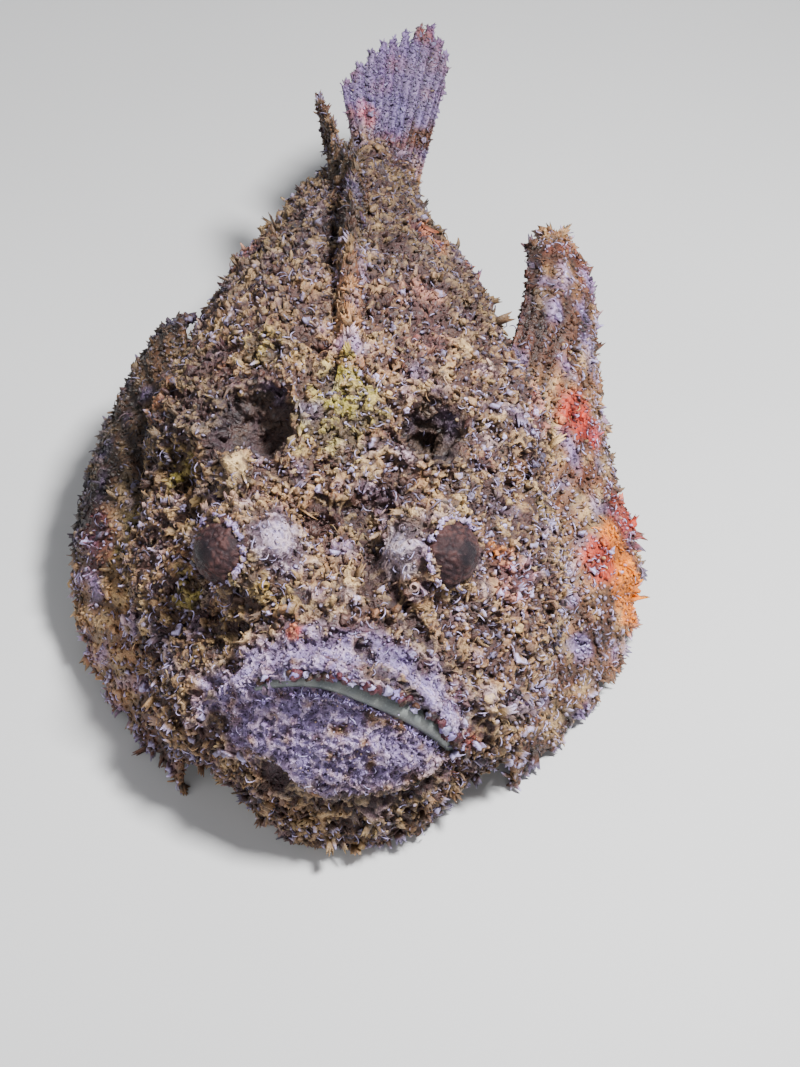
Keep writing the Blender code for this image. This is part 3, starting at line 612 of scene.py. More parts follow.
def press_hollows(bm):
    for centre, radius, depth, rim in HOLLOWS:
        middle = Vector(centre)
        near = [v for v in bm.verts if (v.co - middle).length < HOLLOW_REACH * radius]
        inward = -sum((v.normal for v in near), Vector()).normalized()
        for v in near:
            away = v.co - middle
            flat = (away - inward * away.dot(inward)).length / radius
            pit = depth * (1 - float(smooth(flat)))
            ring = rim * math.exp(-((flat - RIM_PLACE) / RIM_SPREAD) ** 2)
            v.co += inward * (pit - ring)


def press_mouth(bm):
    line = [mouth_point(-1 + k / 24) for k in range(49)]
    for v in bm.verts:
        if v.co.y > MOUTH_GROOVE_BACK:
            continue
        near = min(math.hypot(v.co.x - p.x, v.co.z - p.z) for p in line)
        v.co.y += MOUTH_GROOVE_DEPTH * (1 - float(smooth(near / MOUTH_GROOVE_WIDTH)))


def press_folds(bm):
    for points, width, depth in FOLDS:
        line = [Vector(through(points, k / 20)) for k in range(21)]
        for v in bm.verts:
            near = min((v.co - p).length for p in line)
            if near < width:
                v.co -= v.normal * depth * (1 - float(smooth(near / width)))


def lump_skin(bm):
    for v in bm.verts:
        wide = noise.noise(v.co / LUMP_WIDTH[0])
        fine = noise.noise(v.co / LUMP_WIDTH[1])
        v.co += v.normal * (LUMP_HEIGHT[0] * wide + LUMP_HEIGHT[1] * fine)


def melted(bm, voxel, rounds):
    """The forms as one closed skin, smoothed that many times."""
    bmesh.ops.recalc_face_normals(bm, faces=bm.faces)
    remesh = ("REMESH", {"mode": "VOXEL", "voxel_size": voxel})
    return modified(bm, remesh, ("SMOOTH", {"factor": 0.5, "iterations": rounds}))


def masses():
    bm = bmesh.new()
    trunk_loft(bm)
    for centre, radii in (SNOUT, CHIN, THROAT):
        ellipsoid(bm, centre, radii)
    for centre, radii in (JOWL, CHEEK, SHOULDER):
        for side in (-1, 1):
            ellipsoid(bm, (side * centre[0], centre[1], centre[2]), radii)
    return melted(bm, MASS_VOXEL, MASS_SMOOTHINGS)


def flesh():
    """The body's form as the solids have it, before its fine surface."""
    bm = masses()
    for centre, radii in EYE_MOUNDS + (BROW_KNOB,):
        ellipsoid(bm, centre, radii)
    lips(bm)
    lids(bm)
    bm = melted(bm, VOXEL, SMOOTHINGS)
    bm.normal_update()
    lump_skin(bm)
    press_hollows(bm)
    press_mouth(bm)
    press_folds(bm)
    bm = modified(bm, ("SUBSURF", {"levels": 1, "render_levels": 1}))
    fine = {v for v in bm.verts if v.co.y < FINE_BACK and v.co.z > FINE_FLOOR}
    edges = [e for e in bm.edges if e.verts[0] in fine and e.verts[1] in fine]
    bmesh.ops.subdivide_edges(bm, edges=edges, cuts=1, use_grid_fill=True)
    return bm


def wave(points, width, shift=0.0):
    """Smooth noise from about -1 to 1 at each point, with lumps of that width."""
    step = Vector((shift, 2 * shift, -shift))
    return np.array([noise.noise(Vector(p) / width + step) for p in points])


def uneven_cells(p, width):
    """The two nearest cell middles to a point, bent so that the cells don't line up."""
    spot = Vector(p) / width
    return noise.voronoi(spot + 0.9 * noise.noise_vector(spot * 0.45))


def cells(points, width):
    """How near each point is to the middle of its cell, 1 there and 0 at the edge."""
    return np.array([1 - min(1.0, 1.4 * uneven_cells(p, width)[0][0]) for p in points])


def ridges(points, width):
    """1 on the edges between uneven cells, easing to 0 inside them."""
    away = np.array([uneven_cells(p, width)[0][:2] for p in points])
    return 1 - smooth((away[:, 1] - away[:, 0]) / 0.42)


def holes(points, width, share):
    """1 in the middle of a hole and 0 outside it, with holes in that share of the cells."""
    depth = np.zeros(len(points))
    for i, p in enumerate(points):
        away, middles = uneven_cells(p, width)
        pick = noise.cell(middles[0] * 7.3)
        if pick < share:
            depth[i] = 1 - min(1.0, (2.1 + 3.0 * pick) * away[0])
    return depth


def arrays_of(mesh):
    """Places and normals of a mesh's vertices."""
    co = np.empty(len(mesh.vertices) * 3)
    normal = np.empty(len(mesh.vertices) * 3)
    mesh.vertices.foreach_get("co", co)
    mesh.vertex_normals.foreach_get("vector", normal)
    return co.reshape(-1, 3), normal.reshape(-1, 3)


def near_share(points, centre, radius):
    """1 at the centre, easing to 0 at the radius."""
    return 1 - smooth(distance(points, centre) / radius)


def mouth_distance(points):
    """How far each point is above (+) or below (-) the mouth's line, seen from the front."""
    line = np.array([mouth_point(-1 + k / 40) for k in range(81)])
    flat = points[:, None, [0, 2]] - line[None, :, [0, 2]]
    away = np.sqrt((flat**2).sum(axis=2))
    each, nearest = np.arange(len(points)), away.argmin(axis=1)
    gap, step = away[each, nearest], flat[each, nearest]
    over = step[:, 1] * math.cos(MOUTH_ROLL) + step[:, 0] * math.sin(MOUTH_ROLL)
    return np.where(over > 0, gap, -gap)


def smoothness(points):
    """1 where the skin is bare and smooth, 0 where it is warty."""
    bare = np.zeros(len(points))
    for centre, radius in SMOOTH_PATCHES:
        bare = np.maximum(bare, near_share(points, centre, radius * 1.3))
    return bare


def face_share(points):
    """1 on the lips and the front of the jaw, easing to 0 round them along an uneven edge."""
    share = np.zeros(len(points))
    front = points[:, 1] < FACE_BACK
    near = points[front]
    x, y, z = near.T
    uneven = wave(near, 0.010, 6.6) + 0.5 * wave(near, 0.0045, 2.7)
    up = below(mouth_distance(near) + 0.0050 * uneven, 0.0125, 0.006)
    ahead = below(y, 0.034 + 0.006 * uneven, 0.010)
    sides = below(np.abs(x + 0.001), 0.0480 + 0.004 * uneven, 0.006)
    low = smooth((z - 0.026 + 0.006 * uneven - 0.25 * np.abs(x)) / 0.012)
    share[front] = up * ahead * sides * low
    return share


def pit_share(points):
    """1 in the deep hollows of the head down to their floors, easing to 0 at their rims."""
    deep = np.zeros(len(points))
    for centre, radius, depth, _ in HOLLOWS:
        if depth > DEEP_HOLLOW:
            away = points - np.array(centre)
            inward = np.array([-0.6 * centre[0], 0.0, -HOLLOW_AIM])
            inward /= np.linalg.norm(inward)
            down = np.clip(away @ inward, 0, 2 * depth)
            flat = np.linalg.norm(away - down[:, None] * inward, axis=1)
            deep = np.maximum(deep, 1 - smooth(flat / (radius * 1.4)))
    return smooth(2.2 * deep)


def line_share(points, line, width):
    """1 along a line of points, easing to 0 beside it."""
    places = np.array([through(line, k / 20) for k in range(21)])
    away = np.sqrt(((points[:, None, :] - places[None]) ** 2).sum(axis=2)).min(axis=1)
    return 1 - smooth(away / width)


def fold_share(points):
    """1 along the folds and creases of the face, easing to 0 beside them."""
    share = np.zeros(len(points))
    front = points[:, 1] < FOLDS_BACK
    for lines, spread in ((FOLDS, FOLD_SPREAD), (CREASES, CREASE_SPREAD)):
        for line, width, _ in lines:
            here = line_share(points[front], line, width + spread)
            share[front] = np.maximum(share[front], here)
    return smooth(1.5 * share)


def eye_distance(points):
    """How far each point is from the middle of the nearer eye."""
    return np.minimum(*[distance(points, eye_centre(side)[0]) for side in (-1, 1)])


def shaded_side(points):
    """1 on the right flank, and nearly so on the rear of the back, where the colour is darkened: partly
    the skin's own darker tone and partly painted shade of sides turned from the light.
    """
    x, y, _ = points.T
    uneven = 0.010 * wave(points, 0.020, 4.9)
    flank = smooth((-x - 0.036 + uneven) / 0.030) * above(y, 0.085, 0.030)
    rear = smooth((y - 0.120 + uneven) / 0.060) * below(y, 0.285, 0.02)
    rear = rear * below(np.abs(x), 0.072, 0.01)
    return np.maximum(flank, 0.92 * rear)


def mix(a, b, share):
    share = np.asarray(share)[:, None]
    return np.asarray(a) * (1 - share) + np.asarray(b) * share


def markings(points):
    """The colour at each point, the same for skin, coat and fins."""
    y, z = points[:, 1], points[:, 2]
    wide, middle, fine = wave(points, 0.030, 3.1), wave(points, 0.012, 7.7), wave(points, 0.0042, 1.3)
    rear = above(y, 0.12, 0.09)
    colour = mix([BROWN] * len(points), TAN, smooth(0.50 + 1.1 * wide + 1.0 * middle))
    creamy = smooth(0.15 + 1.5 * middle + 1.2 * fine) * (1 - 0.55 * rear)
    reddish = smooth(-0.05 + 2.2 * wave(points, 0.016, 11.9)) * (0.35 + 0.45 * rear)
    colour = mix(mix(colour, CREAM, 0.70 * creamy), RUST, reddish)
    colour = mix(colour, OLIVE, 0.35 * smooth(-0.7 + 2.4 * wave(points, 0.020, 5.3)))
    colour = mix(colour, LILAC, 0.55 * smooth(-0.25 + 2.0 * wave(points, 0.009, 9.1)))
    # Darker on the right flank and the rear of the back: partly darker skin, partly painted shade.
    colour = colour * (1 - 0.78 * shaded_side(points))[:, None]
    face = face_share(points)
    colour = mix(colour, LILAC, 0.90 * face * smooth(0.95 + 1.2 * fine))
    colour = mix(colour, MAROON, 0.55 * face * smooth(-0.35 + 2.2 * wave(points, 0.0034, 8.8)))
    chin = below(z, 0.030, 0.012) * below(y, 0.05, 0.02)
    colour = mix(colour, BROWN, 0.70 * chin * smooth(0.8 + middle))
    tail = above(y, 0.283, 0.018)
    colour = mix(colour, TAIL_TONE, 0.8 * tail * smooth(0.8 + 1.2 * middle))
    for centre, radius, tint, strength in BLOTCHES:
        share = near_share(points, centre, radius * 1.5)
        share = smooth(1.6 * share + 0.7 * fine * (share > 0.02))
        colour = mix(colour, tint, strength * share)
    # Painted shade: dark in the folds and creases, round the eyes where they sit in the skin, and in the
    # deep hollows.
    colour = mix(colour, PAINTED_SHADE, 0.88 * fold_share(points))
    colour = mix(colour, PAINTED_SHADE, 0.70 * (1 - above(eye_distance(points), EYE_RADIUS, 0.0028)))
    colour = mix(colour, PAINTED_SHADE, 0.90 * pit_share(points))
    return np.clip(colour, 0, 1)


def add_colour(mesh, name, values):
    layer = mesh.color_attributes.new(name, "FLOAT_COLOR", "POINT")
    flat = np.ones((len(mesh.vertices), 4))
    flat[:, :3] = values
    layer.data.foreach_set("color", flat.ravel())


def add_unwrap(mesh, places):
    """Give each corner of each face the unwrap place of its vertex."""
    corners = np.empty(len(mesh.loops), dtype=int)
    mesh.loops.foreach_get("vertex_index", corners)
    mesh.uv_layers.new(name="OFBake").data.foreach_set("uv", places[corners].ravel())


def finish_piece(obj, mat, nodes=()):
    obj.data.transform(Matrix.Translation(OFFSET))
    obj.data.shade_smooth()
    obj.data.materials.clear()
    obj.data.materials.append(mat)
    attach(obj, "root")
    if nodes:
        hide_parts(*nodes)


def put(sockets, values):
    """Set each socket to a fixed value or link it to another node's output."""
    for key, value in values.items():
        if isinstance(value, bpy.types.NodeSocket):
            sockets[key].id_data.links.new(value, sockets[key])
        else:
            sockets[key].default_value = value


def add_node(tree, kind, values=None, **settings):
    """A new node with its settings and inputs, as its outputs."""
    node = tree.nodes.new(kind)
    for key, value in settings.items():
        setattr(node, key, value)
    put(node.inputs, values or {})
    return node.outputs


def node_material(name):
    """A new material, its node tree, the place on the object and the shader's inputs."""
    mat = bpy.data.materials.new(name)
    mat.use_nodes = True
    tree = mat.node_tree
    place = add_node(tree, "ShaderNodeTexCoord")["Object"]
    return mat, tree, place, tree.nodes["Principled BSDF"].inputs


def marking_colour(tree):
    return add_node(tree, "ShaderNodeAttribute", attribute_name="marking")["Color"]


def noise_node(tree, place, scale, detail, roughness):
    values = {"Vector": place, "Scale": scale, "Detail": detail, "Roughness": roughness}
    return add_node(tree, "ShaderNodeTexNoise", values)


def map_range(tree, source, low, high, to_low, to_high):
    values = {"Value": source, "From Min": low, "From Max": high, "To Min": to_low, "To Max": to_high}
    return add_node(tree, "ShaderNodeMapRange", values)["Result"]


def mixed(tree, kind, factor, first, second):
    values = {0: factor, 6: first, 7: second}
    return add_node(tree, "ShaderNodeMix", values, data_type="RGBA", blend_type=kind)[2]


def bumped(tree, height, strength, depth):
    values = {"Height": height, "Strength": strength, "Distance": depth}
    return add_node(tree, "ShaderNodeBump", values)["Normal"]


def cell_edges(tree, place, scale):
    """Distance to the nearest edge of uneven cells."""
    warp = noise_node(tree, place, 420, 3, 0.6)["Color"]
    values = {0: warp, 1: (0.5, 0.5, 0.5)}
    centred = add_node(tree, "ShaderNodeVectorMath", values, operation="SUBTRACT")[0]
    values = {0: centred, 1: (0.0035, 0.0035, 0.0035), 2: place}
    moved = add_node(tree, "ShaderNodeVectorMath", values, operation="MULTIPLY_ADD")[0]
    values = {"Vector": moved, "Scale": scale}
    return add_node(tree, "ShaderNodeTexVoronoi", values, feature="DISTANCE_TO_EDGE")["Distance"]


def skin_material(name, grain, bump, rough, web=0.0):
    """Markings from the mesh, broken up by grain, with painted shade in the low middles of uneven cells,
    a painted highlight along the raised network between them, pale specks that are partly painted
    glints, and fine bumps.
    """
    mat, tree, place, shader = node_material(name)
    marking = marking_colour(tree)
    coarse = noise_node(tree, place, 260, 5, 0.65)["Fac"]
    speck = noise_node(tree, place, 1500, 3, 0.6)["Fac"]
    shade = map_range(tree, coarse, 0.3, 0.7, 1 - grain, 1 + grain)
    colour = mixed(tree, "MULTIPLY", 1.0, marking, shade)
    height = speck
    if web > 0:
        edges = cell_edges(tree, place, 430)
        # Painted shade in the low middles of the cells, and a painted highlight along the raised edges
        # between them.
        cell_shade = map_range(tree, edges, 0.10, 0.42, 0.0, 0.75)
        colour = mixed(tree, "MIX", cell_shade, colour, (*PAINTED_SHADE, 1))
        ridge_highlight = map_range(tree, edges, 0.0, 0.11, web, 0.0)
        colour = mixed(tree, "SCREEN", ridge_highlight, colour, marking)
        height = mixed(tree, "MULTIPLY", 1.0, map_range(tree, edges, 0.0, 0.3, 1.0, 0.0), height)
    # Pale specks, partly painted glints.
    pale = map_range(tree, speck, 0.56, 0.72, 0.0, 0.90)
    put(shader, {
        "Base Color": mixed(tree, "SCREEN", pale, colour, marking),
        "Roughness": map_range(tree, coarse, 0.3, 0.7, rough[1], rough[0]),
        "Normal": bumped(tree, height, bump, 0.0008),
        "Specular IOR Level": 0.5,
    })
    return mat


def make_skin():
    """The one skin of head, jaw, trunk and tail."""
    obj = raw_object("skin", flesh())
    mesh = obj.data
    co, normal = arrays_of(mesh)
    bare, face = smoothness(co), face_share(co)
    warty, rough = 1 - bare, (1 - 0.9 * bare) * (1 - 0.6 * face)
    lumps, crests = cells(co, LUMP[0]), ridges(co, RIDGE[0])
    pits, sunk, pressed = np.zeros((3, len(co)))
    for width, share, depth in HOLES:
        found = holes(co, width, share) * warty
        pits = np.maximum(pits, found)
        sunk = np.maximum(sunk, depth * found)
    for line, width, depth in CREASES:
        pressed = np.maximum(pressed, depth * line_share(co, line, width))
    height = rough * LUMP[1] * (lumps - 0.45) - pressed + RIDGE[1] * warty * (crests - 0.4)
    height = height + rough * 0.0007 * wave(co, 0.0030, 2.2) - sunk * (0.4 + 0.6 * rough) - SKIN_SINK
    moved = co + normal * height[:, None]
    moved[:, 2] = np.maximum(moved[:, 2], SKIN_FLOOR)
    mesh.vertices.foreach_set("co", moved.ravel())
    mesh.update()
    hole, pit = smooth(2.2 * pits), pit_share(co)
    colour = markings(co)
    # Painted shade in the low ground between lumps, away from the ridges and in the holes, and a painted
    # highlight of paler cream on the raised crests.
    colour = mix(colour, HOLE_SHADE, 0.36 * below(lumps, 0.40, 0.3) * rough)
    colour = mix(colour, HOLE_SHADE, 0.30 * (1 - crests) * warty)
    colour = mix(colour, HOLE_SHADE, 0.88 * hole * ((1 - pit) * (1 - 0.45 * face)))
    colour = mix(colour, CREAM, 0.30 * crests * (1 - hole) * (1 - pit))
    add_colour(mesh, "marking", colour)
    return obj


def trunk_coordinates(points):
    """Place of each point on the skin's unwrap: round the body, and along it."""
    x, y, z = points.T
    clipped = np.clip(y, 0, None)
    x_mid, z_mid = np.interp(clipped, SPINE_Y, SPINE_X), np.interp(clipped, SPINE_Y, SPINE_Z)
    angle = np.arctan2(x - x_mid, z - z_mid)
    return np.stack([0.5 + angle / (2 * math.pi), np.clip(y / UNWRAP_LENGTH + 0.02, 0, 1)], axis=1)


SPINE_S = np.linspace(0.0, TOTAL_LENGTH, 24)
SPINE_X, SPINE_Y, SPINE_Z = np.array([frame_at(s)[0] for s in SPINE_S]).T


def ringed(rings, sides):
    """Triangles of a closed stack of rings that ends in a top and a bottom point."""
    faces = []
    for i in range(rings - 1):
        for k in range(sides):
            n = (k + 1) % sides
            a, b = i * sides + k, i * sides + n
            faces += [(a, b, b + sides), (a, b + sides, a + sides)]
    last = (rings - 1) * sides
    top, base = rings * sides, rings * sides + 1
    faces += [(last + k, last + (k + 1) % sides, top) for k in range(sides)]
    faces += [((k + 1) % sides, k, base) for k in range(sides)]
    return np.array(faces)


def cone_template(draw, sides, rings, jag, hook):
    """A tuft of rings, each given as height and radius: vertices, triangles, height share."""
    verts, tips = [], []
    lean = draw.uniform(0, 2 * math.pi)
    for level, radius in rings:
        bend = hook * max(level, 0) ** 2
        for k in range(sides):
            angle = 2 * math.pi * k / sides
            r = radius * (1 + draw.uniform(-jag, jag))
            x = r * math.cos(angle) + bend * math.cos(lean)
            y = r * math.sin(angle) + bend * math.sin(lean)
            verts.append((x, y, level + draw.uniform(-jag, jag) * 0.3))
            tips.append(max(level, 0))
    verts.append((hook * math.cos(lean), hook * math.sin(lean), 1.0))
    verts.append((0, 0, rings[0][0]))
    tips += [1.0, 0.0]
    return np.array(verts), ringed(len(rings), sides), np.array(tips)


def clump_template(draw):
    """A low, knotted lump."""
    bm = bmesh.new()
    bmesh.ops.create_icosphere(bm, subdivisions=2, radius=1)
    shift = Vector((draw.uniform(0, 50), draw.uniform(0, 50), draw.uniform(0, 50)))
    verts, tips = [], []
    for v in bm.verts:
        size = 1 + 0.95 * noise.noise(v.co * 1.7 + shift) + 0.75 * noise.noise(v.co * 4.1 + shift)
        place = v.co * size
        verts.append((place.x, place.y, place.z * 0.8 + 0.15))
        tips.append(min(1.0, max(0.0, 0.3 + 0.6 * place.z * size)))
    faces = [tuple(v.index for v in f.verts) for f in bm.faces]
    bm.free()
    return np.array(verts), np.array(faces), np.array(tips)


def thread_template(draw, steps=6, sides=3):
    """A fine thread that leaves the skin, runs along over it and comes down again."""
    bend = draw.uniform(-0.5, 0.5)
    reach = draw.uniform(0.8, 1.1)
    verts, tips = [], []
    for i in range(steps):
        t = i / (steps - 1)
        x, y = reach * t, bend * math.sin(2.6 * t)
        z = 0.75 * math.sin(math.pi * t) ** 0.7 + draw.uniform(-0.12, 0.12)
        for k in range(sides):
            angle = 2 * math.pi * k / sides
            verts.append((x, y + 0.055 * math.cos(angle), z + 0.17 * math.sin(angle)))
            tips.append(0.55 + 0.45 * math.sin(math.pi * t))
    verts += [(reach, bend * math.sin(2.6), 0), (0, 0, 0)]
    tips += [0.5, 0.5]
    return np.array(verts), ringed(steps, sides), np.array(tips)


def flap_template(draw, points=5):
    """A flat, branching flap with a ragged top, thin through."""
    outline = [(-0.55, -0.25), (0.55, -0.25), (0.62, 0.35)]
    for k in range(points):
        x = 0.75 - 1.5 * (k + 0.5) / points
        z = draw.uniform(0.80, 1.15) if k % 2 == 0 else draw.uniform(0.5, 0.7)
        outline.append((x + draw.uniform(-0.08, 0.08), z))
    outline.append((-0.62, 0.35))
    bend = draw.uniform(-0.6, 0.6)
    verts, tips = [], []
    for side in (-0.5, 0.5):
        for x, z in outline:
            thick = 0.34 * (1.1 - 0.75 * max(z, 0))
            verts.append((x, side * thick + bend * max(z, 0) ** 2, z))
            tips.append(min(1.0, max(z, 0)))
    count = len(outline)
    verts += [(0, -0.14 + bend * 0.2, 0.45), (0, 0.14 + bend * 0.2, 0.45)]
    tips += [0.45, 0.45]
    faces = []
    for k in range(count):
        n = (k + 1) % count
        faces.append((k, n, 2 * count))
        faces.append((count + n, count + k, 2 * count + 1))
        faces += [(n, k, count + k), (n, count + k, count + n)]
    return np.array(verts), np.array(faces), np.array(tips)


def ring_template(draw, sides=10, around=4):
    """A raised rim round a small opening."""
    verts, tips, faces = [], [], []
    for k in range(sides):
        angle = 2 * math.pi * k / sides
        size = 1 + draw.uniform(-0.12, 0.12)
        for j in range(around):
            turn = 2 * math.pi * j / around
            r = size + 0.42 * math.cos(turn)
            z = 0.55 * (1 + draw.uniform(-0.2, 0.2)) * (math.sin(turn) + 0.3)
            verts.append((r * math.cos(angle), r * math.sin(angle), z))
            tips.append(1.0 if math.sin(turn) > 0.3 else 0.3)
    for k in range(sides):
        for j in range(around):
            a, b = k * around + j, k * around + (j + 1) % around
            c, d = ((k + 1) % sides) * around + j, ((k + 1) % sides) * around + (j + 1) % around
            faces += [(a, c, d), (a, d, b)]
    return np.array(verts), np.array(faces), np.array(tips)


def template_sets():
    """Several shapes of each kind of tuft."""
    draw = random.Random(SEED)
    dome = ((-0.45, 1.05), (0.25, 0.90), (0.70, 0.60))
    point = ((-0.45, 1.10), (0.15, 0.75), (0.60, 0.38))
    finger = ((-0.15, 1.0), (0.25, 0.75), (0.55, 0.62), (0.85, 0.34))
    return {
        "knobs": [
            cone_template(draw, 5, dome if k % 3 == 0 else point, 0.34, draw.uniform(0.2, 0.9))
            for k in range(18)
        ],
        "papillae": [cone_template(draw, 6, finger, 0.28, draw.uniform(0.4, 1.6)) for _ in range(14)],
        "clumps": [clump_template(draw) for _ in range(14)],
        "threads": [thread_template(draw) for _ in range(14)],
        "flaps": [flap_template(draw) for _ in range(10)],
        "rings": [ring_template(draw) for _ in range(4)],
    }


def neighbours(cell):
    """The cells of a grid round one cell, and that cell."""
    x, y, z = cell
    steps = (-1, 0, 1)
    return [(x + i, y + j, z + k) for i in steps for j in steps for k in steps]


def thinned(points, spacing, rng):
    """Indices of points kept so that they lie at least about the spacing apart."""
    taken = {}
    kept = []
    for i in rng.permutation(len(points)):
        cell = tuple(np.floor(points[i] / spacing).astype(int))
        near = [j for place in neighbours(cell) for j in taken.get(place, ())]
        if all(((points[i] - points[j]) ** 2).sum() >= spacing * spacing for j in near):
            taken.setdefault(cell, []).append(i)
            kept.append(i)
    return np.array(kept)


def surface_points(mesh, spacing, rng, crowd=2.2):
    """Points spread over a mesh about the spacing apart, with their normals and their colours."""
    mesh.calc_loop_triangles()
    tri = np.empty(len(mesh.loop_triangles) * 3, dtype=int)
    mesh.loop_triangles.foreach_get("vertices", tri)
    tri = tri.reshape(-1, 3)
    co, normal = arrays_of(mesh)
    tone = np.empty(len(mesh.vertices) * 4)
    mesh.color_attributes["marking"].data.foreach_get("color", tone)
    tone = tone.reshape(-1, 4)[:, :3]
    a, b, c = co[tri[:, 0]], co[tri[:, 1]], co[tri[:, 2]]
    area = np.linalg.norm(np.cross(b - a, c - a), axis=1) / 2
    count = int(crowd * area.sum() / spacing**2)
    chosen = rng.choice(len(tri), count, p=area / area.sum())
    u, v = rng.random(count), rng.random(count)
    flip = u + v > 1
    u[flip], v[flip] = 1 - u[flip], 1 - v[flip]
    share = np.stack([1 - u - v, u, v], axis=1)[:, :, None]
    points = (co[tri[chosen]] * share).sum(axis=1)
    normals = (normal[tri[chosen]] * share).sum(axis=1)
    normals /= np.linalg.norm(normals, axis=1)[:, None] + 1e-9
    tones = (tone[tri[chosen]] * share).sum(axis=1)
    kept = thinned(points, spacing, rng)
    return points[kept], normals[kept], tones[kept]


def copies(template, roots, ways, first, second, widths, heights, bodies, tips, uvs):
    """Corners, triangles, colours and unwrap places of the copies of one template."""
    verts, faces, levels = template
    placed = roots[:, None, :] + first[:, None, :] * verts[None, :, 0:1] * widths[:, None, None]
    placed = placed + second[:, None, :] * verts[None, :, 1:2] * widths[:, None, None]
    placed = placed + ways[:, None, :] * verts[None, :, 2:3] * heights[:, None, None]
    # Each copy grows darker toward its root, painted shade where it meets the skin, and takes its tip
    # colour toward its top.
    low = smooth(levels / 0.45)[None, :, None]
    high = above(levels, 0.45, 0.5)[None, :, None]
    tone = bodies[:, None, :] * (0.16 + 0.84 * low) * (1 - high) + tips[:, None, :] * high
    patch = uvs[:, None, :] + UV_PATCH * 0.35 * verts[None, :, :2]
    shift = len(verts) * np.arange(len(roots))[:, None, None]
    corners = (faces[None] + shift).reshape(-1, 3)
    return placed.reshape(-1, 3), corners, tone.reshape(-1, 3), patch.reshape(-1, 2)


def tuft_object(name, groups):
    """One mesh of the copies of all templates."""
    starts = np.cumsum([0] + [len(group[0]) for group in groups[:-1]])
    verts, faces, tones, uvs = (np.concatenate(rows) for rows in zip(*groups))
    faces = faces + np.repeat(starts, [len(group[1]) for group in groups])[:, None]
    verts[:, 2] = np.maximum(verts[:, 2], COAT_FLOOR)
    mesh = bpy.data.meshes.new(name)
    mesh.vertices.add(len(verts))
    mesh.vertices.foreach_set("co", verts.ravel())
    mesh.loops.add(len(faces) * 3)
    mesh.loops.foreach_set("vertex_index", faces.ravel())
    mesh.polygons.add(len(faces))
    mesh.polygons.foreach_set("loop_start", np.arange(0, len(faces) * 3, 3))
    mesh.update(calc_edges=True)
    add_colour(mesh, "marking", tones)
    add_unwrap(mesh, uvs)
    return new_object(name, mesh)


def tufts(name, templates, roots, ways, widths, heights, bodies, tips, uvs, rng):
    """Joined mesh of one template copy at each root, as one or more pieces."""
    pieces = []
    rows = (roots, ways, widths, heights, bodies, tips, uvs)
    batch = COAT_PIECE_TRIANGLES // max(len(template[1]) for template in templates)
    for start in range(0, len(roots), batch):
        place, way, *rest = [row[start:start + batch] for row in rows]
        kinds = rng.integers(0, len(templates), len(place))
        spin = (rng.random(len(place)) * 2 * math.pi)[:, None]
        first = np.cross(np.where(np.abs(way[:, 2:3]) < 0.9, [[0, 0, 1]], [[1, 0, 0]]), way)
        first /= np.linalg.norm(first, axis=1)[:, None]
        first, second = turned(first, np.cross(way, first), np.cos(spin), np.sin(spin))
        given = (place, way, first, second, *rest)
        groups = [
            copies(template, *[a[kinds == kind] for a in given])
            for kind, template in enumerate(templates)
            if (kinds == kind).any()
        ]
        pieces.append(tuft_object(f"{name}_{len(pieces) + 1}", groups))
    return pieces


def tip_tones(base, rng, pale, points):
    """Colours of the tips: a share of them pale, some cream, the rest as the skin but lighter. The pale
    lilac tips are partly the tufts' own pale tips and partly painted wet highlights.
    """
    x, y, _ = points.T
    pick = rng.random(len(base))[:, None]
    dim = 0.40 + 0.60 * rng.random((len(base), 1))
    # Tips dimmed on the right flank and the rear of the back, partly painted shade, on the tail, and
    # where the skin below them is dark.
    dull = 1 - np.maximum(0.70 * shaded_side(points), 0.50 * above(y, 0.27, 0.02))[:, None]
    dull = dull * (1 - 0.9 * below(base.mean(axis=1), 0.045, 0.03))[:, None]
    vivid = smooth((base.max(axis=1) - base.min(axis=1) - 0.24) / 0.12)[:, None]
    patchy = smooth(0.55 + 1.5 * wave(points, 0.013, 12.5))[:, None]
    # More pale, brighter tips on the cheeks: painted light, most on the left cheek, which faces the
    # light.
    left_cheek = above(x, 0.020, 0.03) * below(y, 0.135, 0.04)
    right_cheek = above(-x, 0.030, 0.02) * below(y, 0.085, 0.03)
    cheek_light = np.maximum(left_cheek, 0.6 * right_cheek)[:, None]
    rear = above(y, 0.12, 0.05)[:, None]
    # Share of pale lilac tips, partly painted wet highlights.
    pale = (pale * (0.35 + 1.1 * patchy) + 0.38 * cheek_light + 0.08 * rear) * (1 - 0.8 * vivid)
    dim = dim + (1 - dim) * 0.4 * cheek_light
    lighter = np.clip(base * (1.7 - 0.40 * rear), 0, 1)
    tone = np.where(pick < pale, np.array(PALE) * dim * dull, lighter)
    cream = (pick >= pale) & (pick < pale + 0.22 * patchy * (1 - vivid) * (1 - 0.5 * rear))
    return np.where(cream, np.array(CREAM) * 1.1 * dim * dull, tone)


def leaned(normals, rng, amount):
    """Normals with a random lean."""
    ways = normals + rng.normal(0, amount, normals.shape)
    return ways / np.linalg.norm(ways, axis=1)[:, None]


def set_of_tufts(name, kinds, size, points, ways, tones, uvs, rng, pale=0.35, scale=1.0):
    """Tufts of one kind on the given roots, in the colours of the skin there."""
    widths = rng.uniform(*size["width"], len(points)) * scale
    heights = rng.uniform(*size["height"], len(points)) * scale
    tips = tip_tones(tones, rng, pale, points)
    return tufts(name, kinds, points, ways, widths, heights, tones, tips, uvs, rng)


